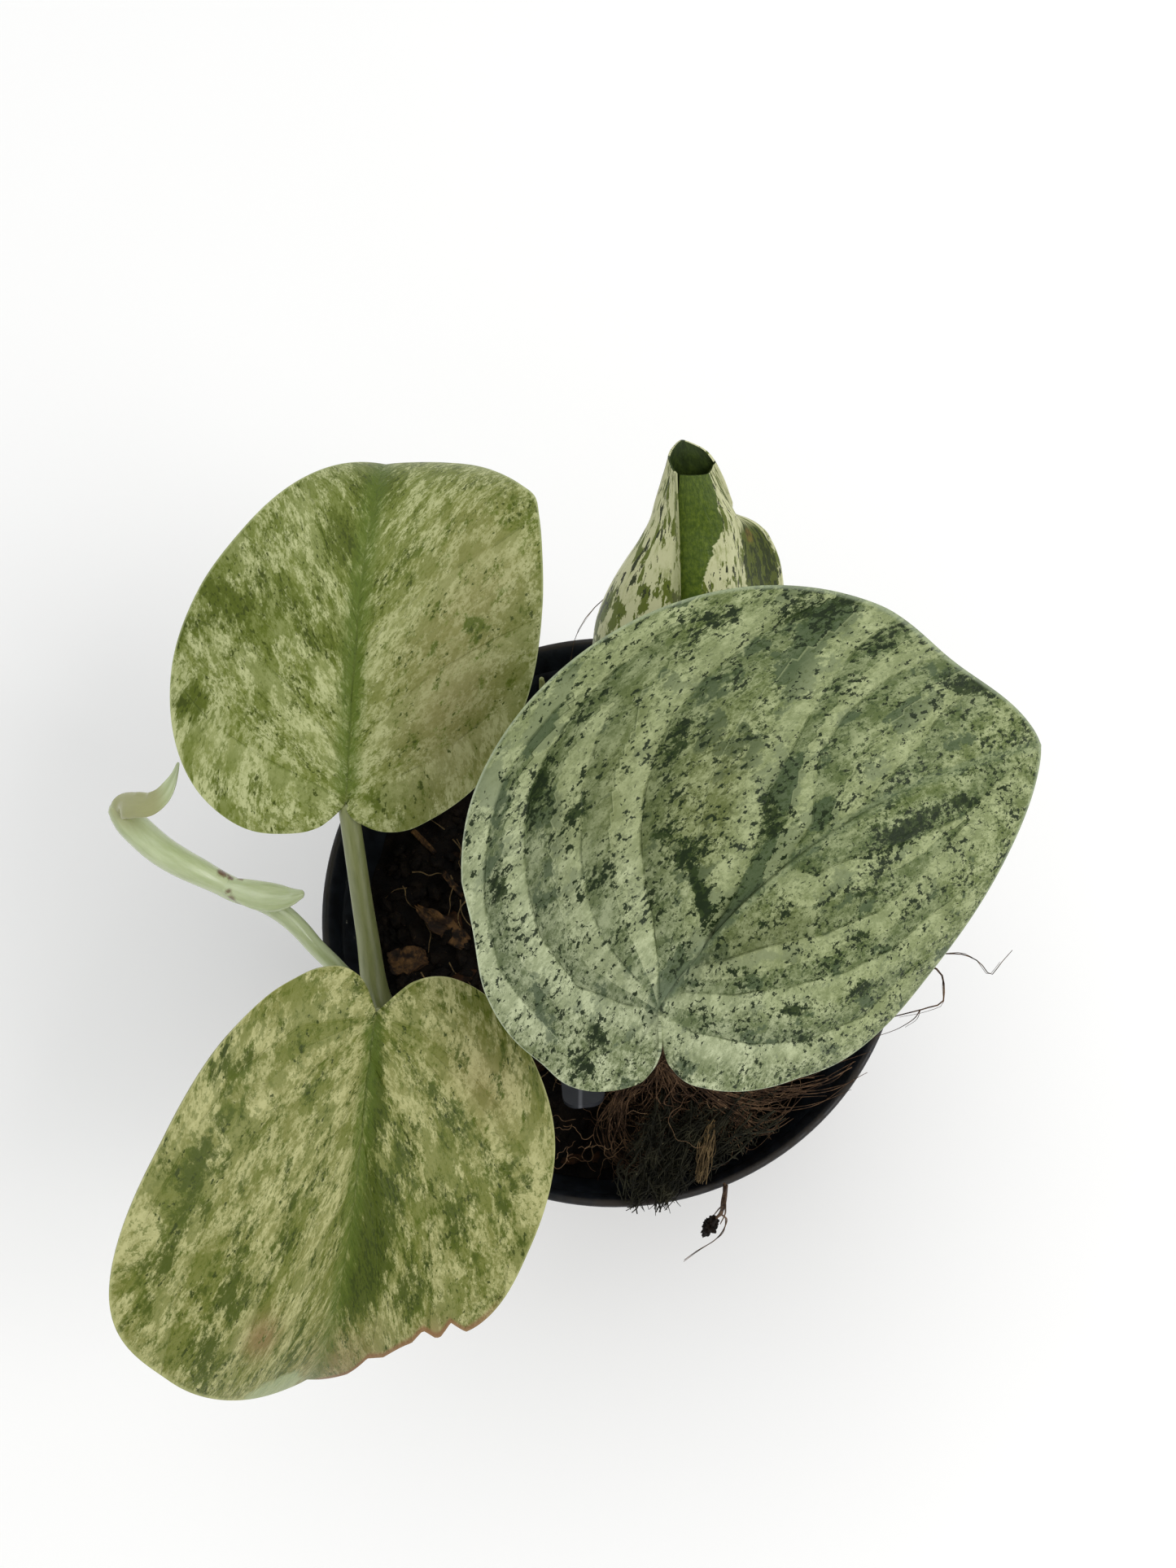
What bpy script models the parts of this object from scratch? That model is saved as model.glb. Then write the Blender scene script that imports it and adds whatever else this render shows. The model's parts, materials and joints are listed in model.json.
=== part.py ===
"""Potted jade satin scindapsus: a nursery pot of soil with two rooted cuttings and their leaves.

Metres and degrees, +Z up. The origin is the middle of the pot's flat base, on the surface it stands on.
The pot's front is toward -Y. A leaf is drawn flat about the point where its stalk meets it, then bent.
"""

import math
import random

import bmesh
import bpy
import numpy as np
from mathutils import Matrix, Vector

GAP = 0.0003  # clearance between two pieces that touch

# Pot, a turned plastic wall with a collar under its lip
POT_HEIGHT = 0.095
RIM_RADIUS = 0.060
COLLAR_RADIUS = 0.0588
COLLAR_HEIGHT = 0.010
LEDGE_WIDTH = 0.0020
BASE_RADIUS = 0.0430
WALL = 0.0013
FOOT_ROUND = 0.001
LIP_DEPTH = 0.0016
LIP_FOOT = 0.0022  # how far under the rim's top the lip meets the collar
LEDGE_SLOPE = 0.0010  # how far the ledge's inside drops and rises from the collar's foot
FLOOR_ROUND_HEIGHT = 0.0022  # where the inside of the wall meets the rounding of the floor
POT_SEGMENTS = 56
DRAIN_HOLES = 8
DRAIN_HOLE_RADIUS = 0.0035
DRAIN_CIRCLE = 0.030

# Soil
SOIL_LEVEL = 0.076
SOIL_LUMP = 0.0016
SOIL_RINGS = 7
SOIL_SEGMENTS = 44
SOIL_FOOT_ROUND = 0.0020
SOIL_FOOT_HEIGHT = 0.004
SOIL_TOP_INSET = 0.0006

# Leaf blades
BLADE_THICKNESS = 0.0008
BLADE_SPOKES = 48
BLADE_RINGS = 8
SPINE_STEP = 0.001
SPINE_BACK = 0.030

# Bearings round the stalk's joint, from the tip at 0 to the notch between the lobes at 180,
# at which the lists left and right below give how far the edge is
BEARINGS = (0, 12, 25, 40, 58, 78, 98, 118, 138, 156, 170, 180)
NOTCH = 0.0015

LEAF_BACK_LEFT = {
    "joint": (-0.0480, 0.0076, 0.142),
    "heading": 86,
    "pitch": 26,
    "roll": 4,
    "nod": 93,
    "hook": 3.0,
    "back": 13,
    "sickle": -5,
    "twist": -8,
    "fold": 3,
    "curve_left": 720,
    "curve_right": 660,
    "length": 0.0725,
    "left": (0.0620, 0.0530, 0.0465, 0.0400, 0.0320, 0.0233, 0.0144, 0.0074, 0.0044, 0.0022),
    "right": (0.0720, 0.0655, 0.0500, 0.0360, 0.0244, 0.0156, 0.0108, 0.0066, 0.0041, 0.0020),
    "wave": 0.0008,
    "waves": 5,
    "nicks": (),
}
LEAF_RIGHT = {
    "joint": (0.0061, -0.0321, 0.158),
    "heading": 57,
    "pitch": 27,
    "roll": 1.5,
    "nod": 56,
    "hook": 1.5,
    "back": 34,
    "sickle": -55,
    "twist": -4,
    "fold": 4,
    "curve_left": 290,
    "curve_right": 1770,
    "length": 0.0840,
    "left": (0.0710, 0.0675, 0.0625, 0.0552, 0.0457, 0.0337, 0.0284, 0.0240, 0.0205, 0.0180),
    "right": (0.0735, 0.0645, 0.0540, 0.0434, 0.0336, 0.0231, 0.0150, 0.0112, 0.0110, 0.0135),
    "wave": 0.0007,
    "waves": 7,
    "nicks": (),
}
LEAF_FRONT_LEFT = {
    "joint": (-0.0417, -0.0297, 0.138),
    "heading": 266,
    "pitch": -6,
    "roll": -22,
    "nod": 75,
    "hook": 2.0,
    "back": 15,
    "sickle": 2,
    "twist": -8,
    "fold": 10,
    "curve_left": 210,
    "curve_right": 180,
    "length": 0.0768,
    "left": (0.0605, 0.0600, 0.0503, 0.0402, 0.0290, 0.0219, 0.0149, 0.0072, 0.0032, 0.0018),
    "right": (0.0700, 0.0650, 0.0600, 0.0395, 0.0260, 0.0183, 0.0137, 0.0098, 0.0060, 0.0022),
    "wave": 0.0009,
    "waves": 6,
    # Torn places in the edge: bearing, half-width of the tear in degrees, and its depth
    "nicks": ((7, 2.4, 0.0030), (16, 2.0, 0.0024), (21, 2.2, 0.0034)),
}

# Furled leaf: half-widths of its rolled blade at stations from its base to its tip. RIGHT reaches the
# outer fold of the lobe on the right, ROLL the roll in front of it, and LAP where the left half's edge is.
FURLED_BASE = (0.012, 0.025, 0.106)
FURLED_TIP = (0.0115, 0.066, 0.165)
FURLED_STATIONS = (0.0, 0.10, 0.25, 0.40, 0.51, 0.59, 0.67, 0.76, 0.81, 0.87, 0.93, 1.0)
FURLED_LEFT = (0.0050, 0.0120, 0.0155, 0.0159, 0.0153, 0.0140, 0.0118, 0.0086, 0.0068, 0.0051, 0.0041, 0.0030)
FURLED_RIGHT = (0.0060, 0.0140, 0.0180, 0.0200, 0.0200, 0.0196, 0.0181, 0.0150, 0.0116, 0.0082, 0.0057, 0.0034)
FURLED_ROLL = (0.0050, 0.0100, 0.0125, 0.0130, 0.0130, 0.0126, 0.0119, 0.0108, 0.0100, 0.0078, 0.0055, 0.0032)
FURLED_LAP = (0.0002, 0.0002, 0.0002, 0.0002, 0.0002, 0.0001, 0.0, -0.0006, -0.0010, -0.0018, -0.0026, -0.0030)
FURLED_DEPTH = 0.58
FURLED_LAP_RISE = 0.0016
# How high the blade reaches at turns of its section: from the tucked edge in front, round by the right
# and the back, to the left half's edge that laps over it
FURLED_TOPS = (0.925, 0.925, 0.925, 0.93, 0.94, 0.95, 0.98, 1.0, 0.985, 0.965, 0.945, 0.935)
FURLED_ROWS = 13
FURLED_ACROSS = 26

# Stems and leaf stalks
STEM_SIDES = 10
STALK_SIDES = 8
STEM_RADIUS = 0.0032
STALK_RADIUS = 0.0021
STALK_TOP_RADIUS = 0.0017
STEM_DEPTH = 0.022
STEM_HOLE_CLEARANCE = 0.0004
STEM_HOLE_RISE = 0.020
# Each stem from where it leaves the soil, and each stalk from inside its stem to short of its blade
LEFT_STEM = ((-0.0405, -0.0218, SOIL_LEVEL), (-0.0433, -0.0230, 0.088), (-0.0452, -0.0238, 0.098))
LEFT_STEM_LEAN = (0.0020, 0.0008)
LEFT_STEM_RADII = (0.0028, STEM_RADIUS, 0.0034, 0.0028)
BACK_STALK = ((-0.0441, -0.0234, 0.092), (-0.0461, -0.0212, 0.104), (-0.0470, -0.0107, 0.117))
BACK_STALK_RADII = (0.0026, 0.0026, STALK_RADIUS, STALK_TOP_RADIUS)
FRONT_STALK = ((-0.0435, -0.0232, 0.089), (-0.0448, -0.0270, 0.100), (-0.0432, -0.0292, 0.118))
FRONT_STALK_RADII = (0.0024, 0.0023, 0.0020, STALK_TOP_RADIUS)
RIGHT_STEM = ((0.0140, -0.0270, SOIL_LEVEL), (0.0140, -0.0266, 0.094), (0.0138, -0.0256, 0.103))
RIGHT_STEM_LEAN = (0.0, 0.0)
RIGHT_STEM_RADII = (0.0028, STEM_RADIUS, 0.0031, 0.0020)
RIGHT_STALK = ((0.0140, -0.0270, 0.096), (0.0124, -0.0290, 0.112), (0.0092, -0.0304, 0.134))
RIGHT_STALK_RADII = (0.0024, 0.0023, STALK_RADIUS, STALK_TOP_RADIUS)
FURLED_STALK = ((0.0140, -0.0270, 0.090), (0.0140, -0.0150, 0.096), (0.0130, 0.0100, 0.0950))
FURLED_STALK_RADII = (0.0024, 0.0022, 0.0020, 0.0019, 0.0018)
FURLED_STALK_RUN_IN = 0.006
# Which way each stalk comes up to its blade
BACK_STALK_END = (-0.05, 0.36, 0.93)
FRONT_STALK_END = (0.05, -0.15, 0.98)
RIGHT_STALK_END = (-0.10, -0.05, 0.99)

# New shoot that leans out over the left of the rim, thin then swollen past its joint
SHOOT_PATH = (
    (-0.0483, -0.0206, 0.0955),
    (-0.0510, -0.0182, 0.1000),
    (-0.0560, -0.0140, 0.1075),
    (-0.0632, -0.0070, 0.1140),
    (-0.0700, -0.0035, 0.1170),
    (-0.0760, -0.0008, 0.1190),
    (-0.0830, 0.0020, 0.1212),
    (-0.0890, 0.0058, 0.1230),
    (-0.0925, 0.0080, 0.1250),
)
SHOOT_RADII = (0.0013, 0.0013, 0.0014, 0.0018, 0.0027, 0.0024, 0.0027, 0.0027, 0.0022)
SHOOT_STUB = ((-0.0655, -0.0052, 0.1150), (-0.0610, -0.0032, 0.1175), (-0.0578, -0.0022, 0.1200))
SHOOT_STUB_RADII = (0.0022, 0.0016, 0.0008)
SHOOT_STUB_FLAT = 0.6
SHOOT_RIBBON = (
    (-0.0915, 0.0072, 0.1240),
    (-0.0945, 0.0098, 0.1275),
    (-0.0915, 0.0128, 0.1310),
    (-0.0860, 0.0118, 0.1320),
    (-0.0815, 0.0132, 0.1335),
    (-0.0792, 0.0168, 0.1345),
)
SHOOT_RIBBON_RADII = (0.0022, 0.0026, 0.0028, 0.0027, 0.0022, 0.0005)
SHOOT_RIBBON_FLAT = 0.35

# Root plug: the fibrous ball of the right cutting, heaped against the front of the rim
PLUG_MIDDLE = (0.0210, -0.0370)
PLUG_TOP = 0.0990
PLUG_FLOOR = 0.0680
PLUG_REACH = 0.0500
PLUG_SEGMENTS = 26
PLUG_RINGS = 5
PLUG_HALF_LENGTH = 0.0270
PLUG_HALF_WIDTH = 0.0190
PLUG_FOOT = SOIL_LEVEL + 0.0020
PLUG_LUMP = 0.0014
FIBRE_RADIUS = 0.00055
FIBRE_COUNT = 14
FIBRE_SWAY = 0.0022
SEED = 8
OVER_RIM = POT_HEIGHT + 0.0022
# Named roots, each with its radius
PLUG_ROOTS = (
    # a frayed end that lies out over the right of the rim
    (0.0010, ((0.0220, -0.0360, 0.0930), (0.0360, -0.0345, 0.0965), (0.0470, -0.0330, 0.0975))),
    # two matted ends that lie over the front of the rim
    (0.0022, ((0.0110, -0.0400, 0.0930), (0.0070, -0.0520, 0.0985), (0.0036, -0.0598, OVER_RIM))),
    (0.0018, ((0.0170, -0.0410, 0.0920), (0.0150, -0.0530, 0.0982), (0.0130, -0.0606, OVER_RIM))),
    # the root that goes over the rim and hangs outside it
    (
        0.0008,
        (
            (0.0180, -0.0390, 0.0915),
            (0.0212, -0.0540, 0.0975),
            (0.0208, -0.0618, 0.0968),
            (0.0198, -0.0640, 0.0900),
        ),
    ),
    # the long thin root that reaches out past the right of the rim
    (
        0.0005,
        (
            (0.0260, -0.0340, 0.0900),
            (0.0530, -0.0255, 0.0975),
            (0.0660, -0.0180, 0.0985),
            (0.0690, -0.0110, 0.1000),
        ),
    ),
)
ROOT_END = 0.7
# The clod of soil at the hanging root's end
CLOD_ROUTE = ((0.0200, -0.0636, 0.0925), (0.0196, -0.0646, 0.0890), (0.0190, -0.0650, 0.0850))
CLOD_RADII = (0.0010, 0.0022, 0.0008)

# Young sprout that stands in the soil at the back
SPROUT_FOOT = (-0.0140, 0.0440)
SPROUT_BEND = (-0.0145, 0.0470, 0.0880)
SPROUT_TOP = (-0.0150, 0.0480, 0.1000)
SPROUT_RADIUS = 0.0015
SPROUT_RADII = (SPROUT_RADIUS, SPROUT_RADIUS, 0.0013, 0.0005)
SPROUT_DEPTH = 0.010

# Bark chips half sunk in the soil: length, width and depth, place, turn and tilt
BARK_CHIPS = (
    ((0.0120, 0.0052, 0.0026), (-0.0375, -0.0005), -35, 6),
    ((0.0074, 0.0018, 0.0016), (-0.0415, 0.0185), 62, -8),
    ((0.0080, 0.0030, 0.0022), (-0.0345, 0.0085), 20, 5),
    ((0.0090, 0.0060, 0.0034), (-0.0440, -0.0080), 15, -6),
)

# Plant label, blank, stuck in the soil and leaning to the front
LABEL_WIDTH = 0.0120
LABEL_THICKNESS = 0.0008
LABEL_LENGTH = 0.0430
LABEL_CORNER = 0.0030
LABEL_TOP = (-0.0039, -0.0410, 0.0965)
LABEL_LEAN = 50
LABEL_TURN = 6


def clear_scene():
    for obj in list(bpy.data.objects):
        bpy.data.objects.remove(obj, do_unlink=True)


def material(name, colour, roughness, metallic=0.0, alpha=1.0):
    made = bpy.data.materials.new(name)
    made.use_nodes = True
    shader = made.node_tree.nodes["Principled BSDF"]
    shader.inputs["Base Color"].default_value = (*colour, 1.0)
    shader.inputs["Roughness"].default_value = roughness
    shader.inputs["Metallic"].default_value = metallic
    shader.inputs["Alpha"].default_value = alpha
    made.diffuse_color = (*colour, alpha)
    return made


def mesh_object(name, points, faces, surface):
    mesh = bpy.data.meshes.new(name)
    mesh.from_pydata([tuple(point) for point in points], [], faces)
    mesh.validate()
    mesh.shade_smooth()
    obj = bpy.data.objects.new(name, mesh)
    bpy.context.scene.collection.objects.link(obj)
    obj.data.materials.append(surface)
    return obj


def smooth(knots, values, at):
    """A smooth curve through values at the knots, read at the places in at."""
    knots = np.asarray(knots, float)
    values = np.asarray(values, float)
    slopes = np.gradient(values, knots, axis=0)
    first = np.clip(np.searchsorted(knots, at, side="right") - 1, 0, len(knots) - 2)
    step = knots[first + 1] - knots[first]
    part = (at - knots[first]) / step
    if values.ndim > 1:
        step = step[:, None]
        part = part[:, None]
    return (
        (1 + 2 * part) * (1 - part) ** 2 * values[first]
        + part * (1 - part) ** 2 * step * slopes[first]
        + part**2 * (3 - 2 * part) * values[first + 1]
        + part**2 * (part - 1) * step * slopes[first + 1]
    )


def apply_modifiers(obj):
    graph = bpy.context.evaluated_depsgraph_get()
    finished = bpy.data.meshes.new_from_object(obj.evaluated_get(graph))
    obj.modifiers.clear()
    obj.data = finished


def fuse(pieces, name):
    """One body from overlapping pieces, by a union on a collection that then goes."""
    body = pieces[0]
    body.name = name
    others = bpy.data.collections.new(name + "_pieces")
    bpy.context.scene.collection.children.link(others)
    for piece in pieces[1:]:
        bpy.context.scene.collection.objects.unlink(piece)
        others.objects.link(piece)
    union = body.modifiers.new("union", "BOOLEAN")
    union.operation = "UNION"
    union.operand_type = "COLLECTION"
    union.collection = others
    union.solver = "MANIFOLD"
    apply_modifiers(body)
    for piece in pieces[1:]:
        bpy.data.objects.remove(piece, do_unlink=True)
    bpy.data.collections.remove(others)
    body.data.shade_smooth()
    return body


def cut(body, cutters, name):
    """Cuts hidden cutters out of a body; each cutter keeps its own modifier."""
    for number, cutter in enumerate(cutters):
        cutter.hide_render = True
        cutter.display_type = "WIRE"
        cutter.name = f"{name}_cutter_{number + 1}"
        difference = body.modifiers.new(cutter.name, "BOOLEAN")
        difference.operation = "DIFFERENCE"
        difference.object = cutter


def turned(name, profile, segments, surface):
    """A body of revolution from a closed profile of (radius, height) that may touch the axis at its ends."""
    points = []
    rings = []
    for radius, height in profile:
        if radius == 0:
            rings.append([len(points)])
            points.append((0, 0, height))
            continue
        rings.append(list(range(len(points), len(points) + segments)))
        for step in range(segments):
            angle = 2 * math.pi * step / segments
            points.append((radius * math.cos(angle), radius * math.sin(angle), height))
    faces = []
    for lower, upper in zip(rings, rings[1:]):
        for step in range(segments):
            after = (step + 1) % segments
            if len(lower) == 1:
                faces.append((lower[0], upper[after], upper[step]))
            elif len(upper) == 1:
                faces.append((lower[step], lower[after], upper[0]))
            else:
                faces.append((lower[step], lower[after], upper[after], upper[step]))
    return mesh_object(name, points, faces, surface)


def sweep(name, path, radii, sides, surface, samples=12, flat=1.0):
    """A tapering round or flattened body along a smooth curve through the points of path."""
    path = np.array(path, float)
    run = np.concatenate([[0], np.cumsum(np.linalg.norm(np.diff(path, axis=0), axis=1))])
    at = np.linspace(0, run[-1], samples)
    middle = smooth(run, path, at)
    radius = smooth(run, radii, at)
    ahead = np.gradient(middle, axis=0)
    points = []
    side = Vector((0.0, 0.0, 1.0)).cross(Vector(ahead[0]))
    if side.length < 1e-6:
        side = Vector((1.0, 0.0, 0.0))
    for place, forward, size in zip(middle, ahead, radius):
        forward = Vector(forward).normalized()
        side = (side - forward * side.dot(forward)).normalized()
        up = forward.cross(side)
        for step in range(sides):
            angle = 2 * math.pi * step / sides
            offset = side * math.cos(angle) * size + up * math.sin(angle) * size * flat
            points.append(Vector(place) + offset)
    faces = [tuple(reversed(range(sides)))]
    for ring in range(samples - 1):
        for step in range(sides):
            after = (step + 1) % sides
            low = ring * sides
            high = low + sides
            faces.append((low + step, low + after, high + after, high + step))
    faces.append(tuple(range((samples - 1) * sides, samples * sides)))
    return mesh_object(name, points, faces, surface)


def turns(axis, degrees):
    """Rotation matrices about one axis, one for each angle."""
    angle = np.radians(np.asarray(degrees, float))
    cos = np.cos(angle)
    sin = np.sin(angle)
    one = np.ones_like(angle)
    nil = np.zeros_like(angle)
    rows = {
        "x": [[one, nil, nil], [nil, cos, -sin], [nil, sin, cos]],
        "y": [[cos, nil, sin], [nil, one, nil], [-sin, nil, cos]],
        "z": [[cos, -sin, nil], [sin, cos, nil], [nil, nil, one]],
    }[axis]
    return np.moveaxis(np.array(rows), (0, 1), (-2, -1))


def spine(leaf):
    """The midrib: places along it, where each lies, and its frame of forward, left and up.

    It starts along heading and pitch. It nods ever faster toward the tip, curves sideways by
    sickle and twists, while the lobes behind the joint fall away by back.
    """
    along = np.arange(-SPINE_BACK, leaf["length"] * 1.1, SPINE_STEP)
    ahead = np.clip(along, 0, None) / leaf["length"]
    behind = np.clip(-along, 0, None) / leaf["length"]
    pitch = leaf["nod"] * ahead ** leaf["hook"] - leaf["back"] * behind
    start = turns("z", leaf["heading"]) @ turns("y", -leaf["pitch"]) @ turns("x", leaf["roll"])
    curl = turns("z", leaf["sickle"] * ahead) @ turns("y", pitch)
    frames = start @ curl @ turns("x", leaf["twist"] * ahead)
    forward = frames[:, :, 0]
    steps = (forward[1:] + forward[:-1]) / 2 * SPINE_STEP
    places = np.concatenate([np.zeros((1, 3)), np.cumsum(steps, axis=0)])
    places += np.array(leaf["joint"]) - places[round(SPINE_BACK / SPINE_STEP)]
    return along, places, frames


def bent(leaf, ahead, aside, lift):
    """Where a point of the flat leaf goes: along the midrib, then sideways along a falling arc."""
    along, places, frames = spine(leaf)
    reading = (ahead - along[0]) / SPINE_STEP
    first = np.clip(np.floor(reading).astype(int), 0, len(along) - 2)
    part = np.clip(reading - first, 0, 1)[..., None]
    place = places[first] * (1 - part) + places[first + 1] * part
    frame = frames[first] * (1 - part[..., None]) + frames[first + 1] * part[..., None]
    rise = math.radians(leaf["fold"])
    curve = np.radians(np.where(aside > 0, leaf["curve_left"], leaf["curve_right"]))
    reach = np.abs(aside)
    sideways = np.sign(aside) * (math.sin(rise) - np.sin(rise - curve * reach)) / curve
    upward = (np.cos(rise - curve * reach) - math.cos(rise)) / curve + lift
    return place + frame[..., 1] * sideways[..., None] + frame[..., 2] * upward[..., None]


def edge(leaf, bearing):
    """How far the leaf's edge is from the joint at each bearing; left is positive."""
    turned_by = np.abs(bearing)
    left = smooth(BEARINGS, (leaf["length"], *leaf["left"], NOTCH), turned_by)
    right = smooth(BEARINGS, (leaf["length"], *leaf["right"], NOTCH), turned_by)
    reach = np.where(bearing > 0, left, right)
    for middle, width, depth in leaf["nicks"]:
        reach = reach - depth * np.clip(1 - np.abs(bearing - middle) / width, 0, 1)
    return reach


def spoke_bearings(leaf):
    """Bearings that share out the edge's length evenly, with the tip, the notch and the nicks among them."""
    fine = np.linspace(0, 180, 721)
    found = []
    for side in (1, -1):
        reach = edge(leaf, side * fine)
        across = np.radians(fine)
        corners = np.stack([reach * np.cos(across), reach * np.sin(across)], axis=1)
        run = np.concatenate([[0], np.cumsum(np.linalg.norm(np.diff(corners, axis=0), axis=1))])
        run += 0.02 * across
        half = np.interp(np.linspace(0, run[-1], BLADE_SPOKES // 2 + 1), run, fine)
        found.extend(side * half[:-1] if side > 0 else side * half[1:])
    for middle, width, _ in leaf["nicks"]:
        found = [bearing for bearing in found if abs(bearing - middle) > width * 1.2]
        found.extend((middle - width, middle, middle + width))
    return np.array(sorted(found))


def leaf_surface(leaf, bearing, share, lift=0.0):
    """A point at a share of the way out along a spoke, with the edge's waves, lifted off the middle layer."""
    reach = edge(leaf, bearing) * share
    angle = np.radians(bearing)
    wave = leaf["wave"] * share**3 * np.sin(leaf["waves"] * angle)
    return bent(leaf, reach * np.cos(angle), reach * np.sin(angle), wave + lift)


def leaf_normal(leaf, bearing, share):
    """The upward normal of the bent blade, from two short steps across it."""
    reach = edge(leaf, bearing) * share
    angle = np.radians(bearing)
    ahead = reach * np.cos(angle)
    aside = reach * np.sin(angle)
    step = SPINE_STEP
    forward = bent(leaf, ahead + step, aside, 0) - bent(leaf, ahead - step, aside, 0)
    left = bent(leaf, ahead, aside + step, 0) - bent(leaf, ahead, aside - step, 0)
    normal = np.cross(forward, left)
    return normal / np.linalg.norm(normal, axis=-1, keepdims=True)


def build_leaf(name, leaf, surface):
    """A blade with two faces split into the same triangles and a closed edge."""
    bearings = spoke_bearings(leaf)
    count = len(bearings)
    shares = np.linspace(0, 1, BLADE_RINGS + 1)[1:, None]
    grid = leaf_surface(leaf, bearings, shares)
    normals = leaf_normal(leaf, bearings, shares)
    middle = np.array(leaf["joint"])
    middle_normal = leaf_normal(leaf, np.zeros(1), np.zeros(1))[0]
    half = BLADE_THICKNESS / 2
    points = []
    for side in (half, -half):
        points.append(middle + middle_normal * side)
        points.extend((grid + normals * side).reshape(-1, 3))
    layer = 1 + count * BLADE_RINGS
    faces = []
    for step in range(count):
        after = (step + 1) % count
        faces.append((0, 1 + step, 1 + after))
        for ring in range(BLADE_RINGS - 1):
            inner = 1 + ring * count
            outer = inner + count
            faces.append((inner + step, outer + step, outer + after))
            faces.append((inner + step, outer + after, inner + after))
    faces += [tuple(layer + corner for corner in reversed(face)) for face in faces]
    rim = 1 + (BLADE_RINGS - 1) * count
    for step in range(count):
        after = (step + 1) % count
        top, top_after = rim + step, rim + after
        faces.append((top_after, top, layer + top))
        faces.append((top_after, layer + top, layer + top_after))
    return mesh_object(name, points, faces, surface)


def seat_under(leaf, direction, radius):
    """Where the middle of a stalk's end goes, so that it just clears the blade above it."""
    normal = Vector(leaf_normal(leaf, np.zeros(1), np.zeros(1))[0])
    slant = math.sqrt(max(0.0, 1 - normal.dot(direction) ** 2))
    drop = BLADE_THICKNESS / 2 + GAP + radius * slant
    return Vector(leaf["joint"]) - normal * drop


def build_pot(surface):
    """The turned wall with its rounded lip, collar and ledge, and a flat floor with drain holes round it."""
    lip = WALL / 2
    collar_foot = POT_HEIGHT - COLLAR_HEIGHT
    wall_top = COLLAR_RADIUS - LEDGE_WIDTH
    outside = [
        (0, 0),
        (BASE_RADIUS - FOOT_ROUND, 0),
        (BASE_RADIUS, FOOT_ROUND),
        (wall_top - 0.0002, collar_foot - 0.0016),
        (wall_top + 0.0004, collar_foot),
        (COLLAR_RADIUS - 0.0006, collar_foot),
        (COLLAR_RADIUS - 0.0002, collar_foot + 0.0008),
        (COLLAR_RADIUS, POT_HEIGHT - LIP_FOOT),
        (RIM_RADIUS, POT_HEIGHT - LIP_DEPTH),
        (RIM_RADIUS, POT_HEIGHT - lip),
        (RIM_RADIUS - lip, POT_HEIGHT),
        (RIM_RADIUS - WALL - lip, POT_HEIGHT),
    ]
    inside = [
        (COLLAR_RADIUS - WALL, POT_HEIGHT - LIP_FOOT),
        (COLLAR_RADIUS - WALL - 0.0004, collar_foot + LEDGE_SLOPE),
        (wall_top - WALL, collar_foot - LEDGE_SLOPE),
        (BASE_RADIUS - WALL, FLOOR_ROUND_HEIGHT),
        (BASE_RADIUS - WALL - 0.0008, WALL),
        (0, WALL),
    ]
    pot = turned("pot", outside + inside, POT_SEGMENTS, surface)
    drains = []
    for number in range(DRAIN_HOLES):
        angle = 2 * math.pi * number / DRAIN_HOLES
        across = DRAIN_CIRCLE * math.cos(angle)
        along = DRAIN_CIRCLE * math.sin(angle)
        place = Matrix.Translation((across, along, WALL / 2))
        mesh = bmesh.new()
        bmesh.ops.create_cone(
            mesh,
            cap_ends=True,
            segments=12,
            radius1=DRAIN_HOLE_RADIUS,
            radius2=DRAIN_HOLE_RADIUS,
            depth=4 * WALL,
            matrix=place,
        )
        data = bpy.data.meshes.new("drain")
        mesh.to_mesh(data)
        mesh.free()
        drain = bpy.data.objects.new("drain", data)
        bpy.context.scene.collection.objects.link(drain)
        drains.append(drain)
    cut(pot, drains, "pot")
    return pot


def inner_radius(height):
    """The pot's inner radius at a height."""
    collar_foot = POT_HEIGHT - COLLAR_HEIGHT
    wall_top = COLLAR_RADIUS - LEDGE_WIDTH - WALL
    foot = BASE_RADIUS - WALL
    share = (height - FLOOR_ROUND_HEIGHT) / (collar_foot - LEDGE_SLOPE - FLOOR_ROUND_HEIGHT)
    return foot + (wall_top - foot) * share


def soil_height(x, y):
    """The lumpy top of the soil."""
    coarse = math.sin(210 * x + 1.1) * math.cos(190 * y - 0.4)
    fine = math.sin(460 * x - 300 * y) + math.cos(330 * x + 420 * y + 0.7)
    return SOIL_LEVEL + SOIL_LUMP * (0.6 * coarse + 0.35 * fine)


def build_soil(surface):
    """The ball of soil: the pot's inside less a thin gap, with a lumpy top."""
    floor = WALL + GAP
    shoulder = SOIL_LEVEL - 3 * SOIL_LUMP
    top_radius = inner_radius(shoulder) - 2 * GAP
    profile = [
        (0, floor),
        (inner_radius(floor) - SOIL_FOOT_ROUND, floor),
        (inner_radius(SOIL_FOOT_HEIGHT) - 2 * GAP, SOIL_FOOT_HEIGHT),
        (top_radius, shoulder),
    ]
    for ring in range(SOIL_RINGS, 0, -1):
        profile.append(((top_radius - SOIL_TOP_INSET) * ring / SOIL_RINGS, SOIL_LEVEL))
    profile.append((0, SOIL_LEVEL))
    soil = turned("soil", profile, SOIL_SEGMENTS, surface)
    for vertex in soil.data.vertices:
        if vertex.co.z > SOIL_LEVEL - SOIL_LUMP:
            vertex.co.z = soil_height(vertex.co.x, vertex.co.y)
    return soil


def stem_hole(foot, radius):
    """A plain round hole round the foot of a stem, down past its end and up past the surface."""
    low, high = (Vector(place) for place in foot)
    run = (high - low).normalized()
    path = (low - run * GAP, high + run * STEM_HOLE_RISE)
    clear = radius + STEM_HOLE_CLEARANCE
    return sweep("hole", path, (clear, clear), STEM_SIDES, None, samples=2)


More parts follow.
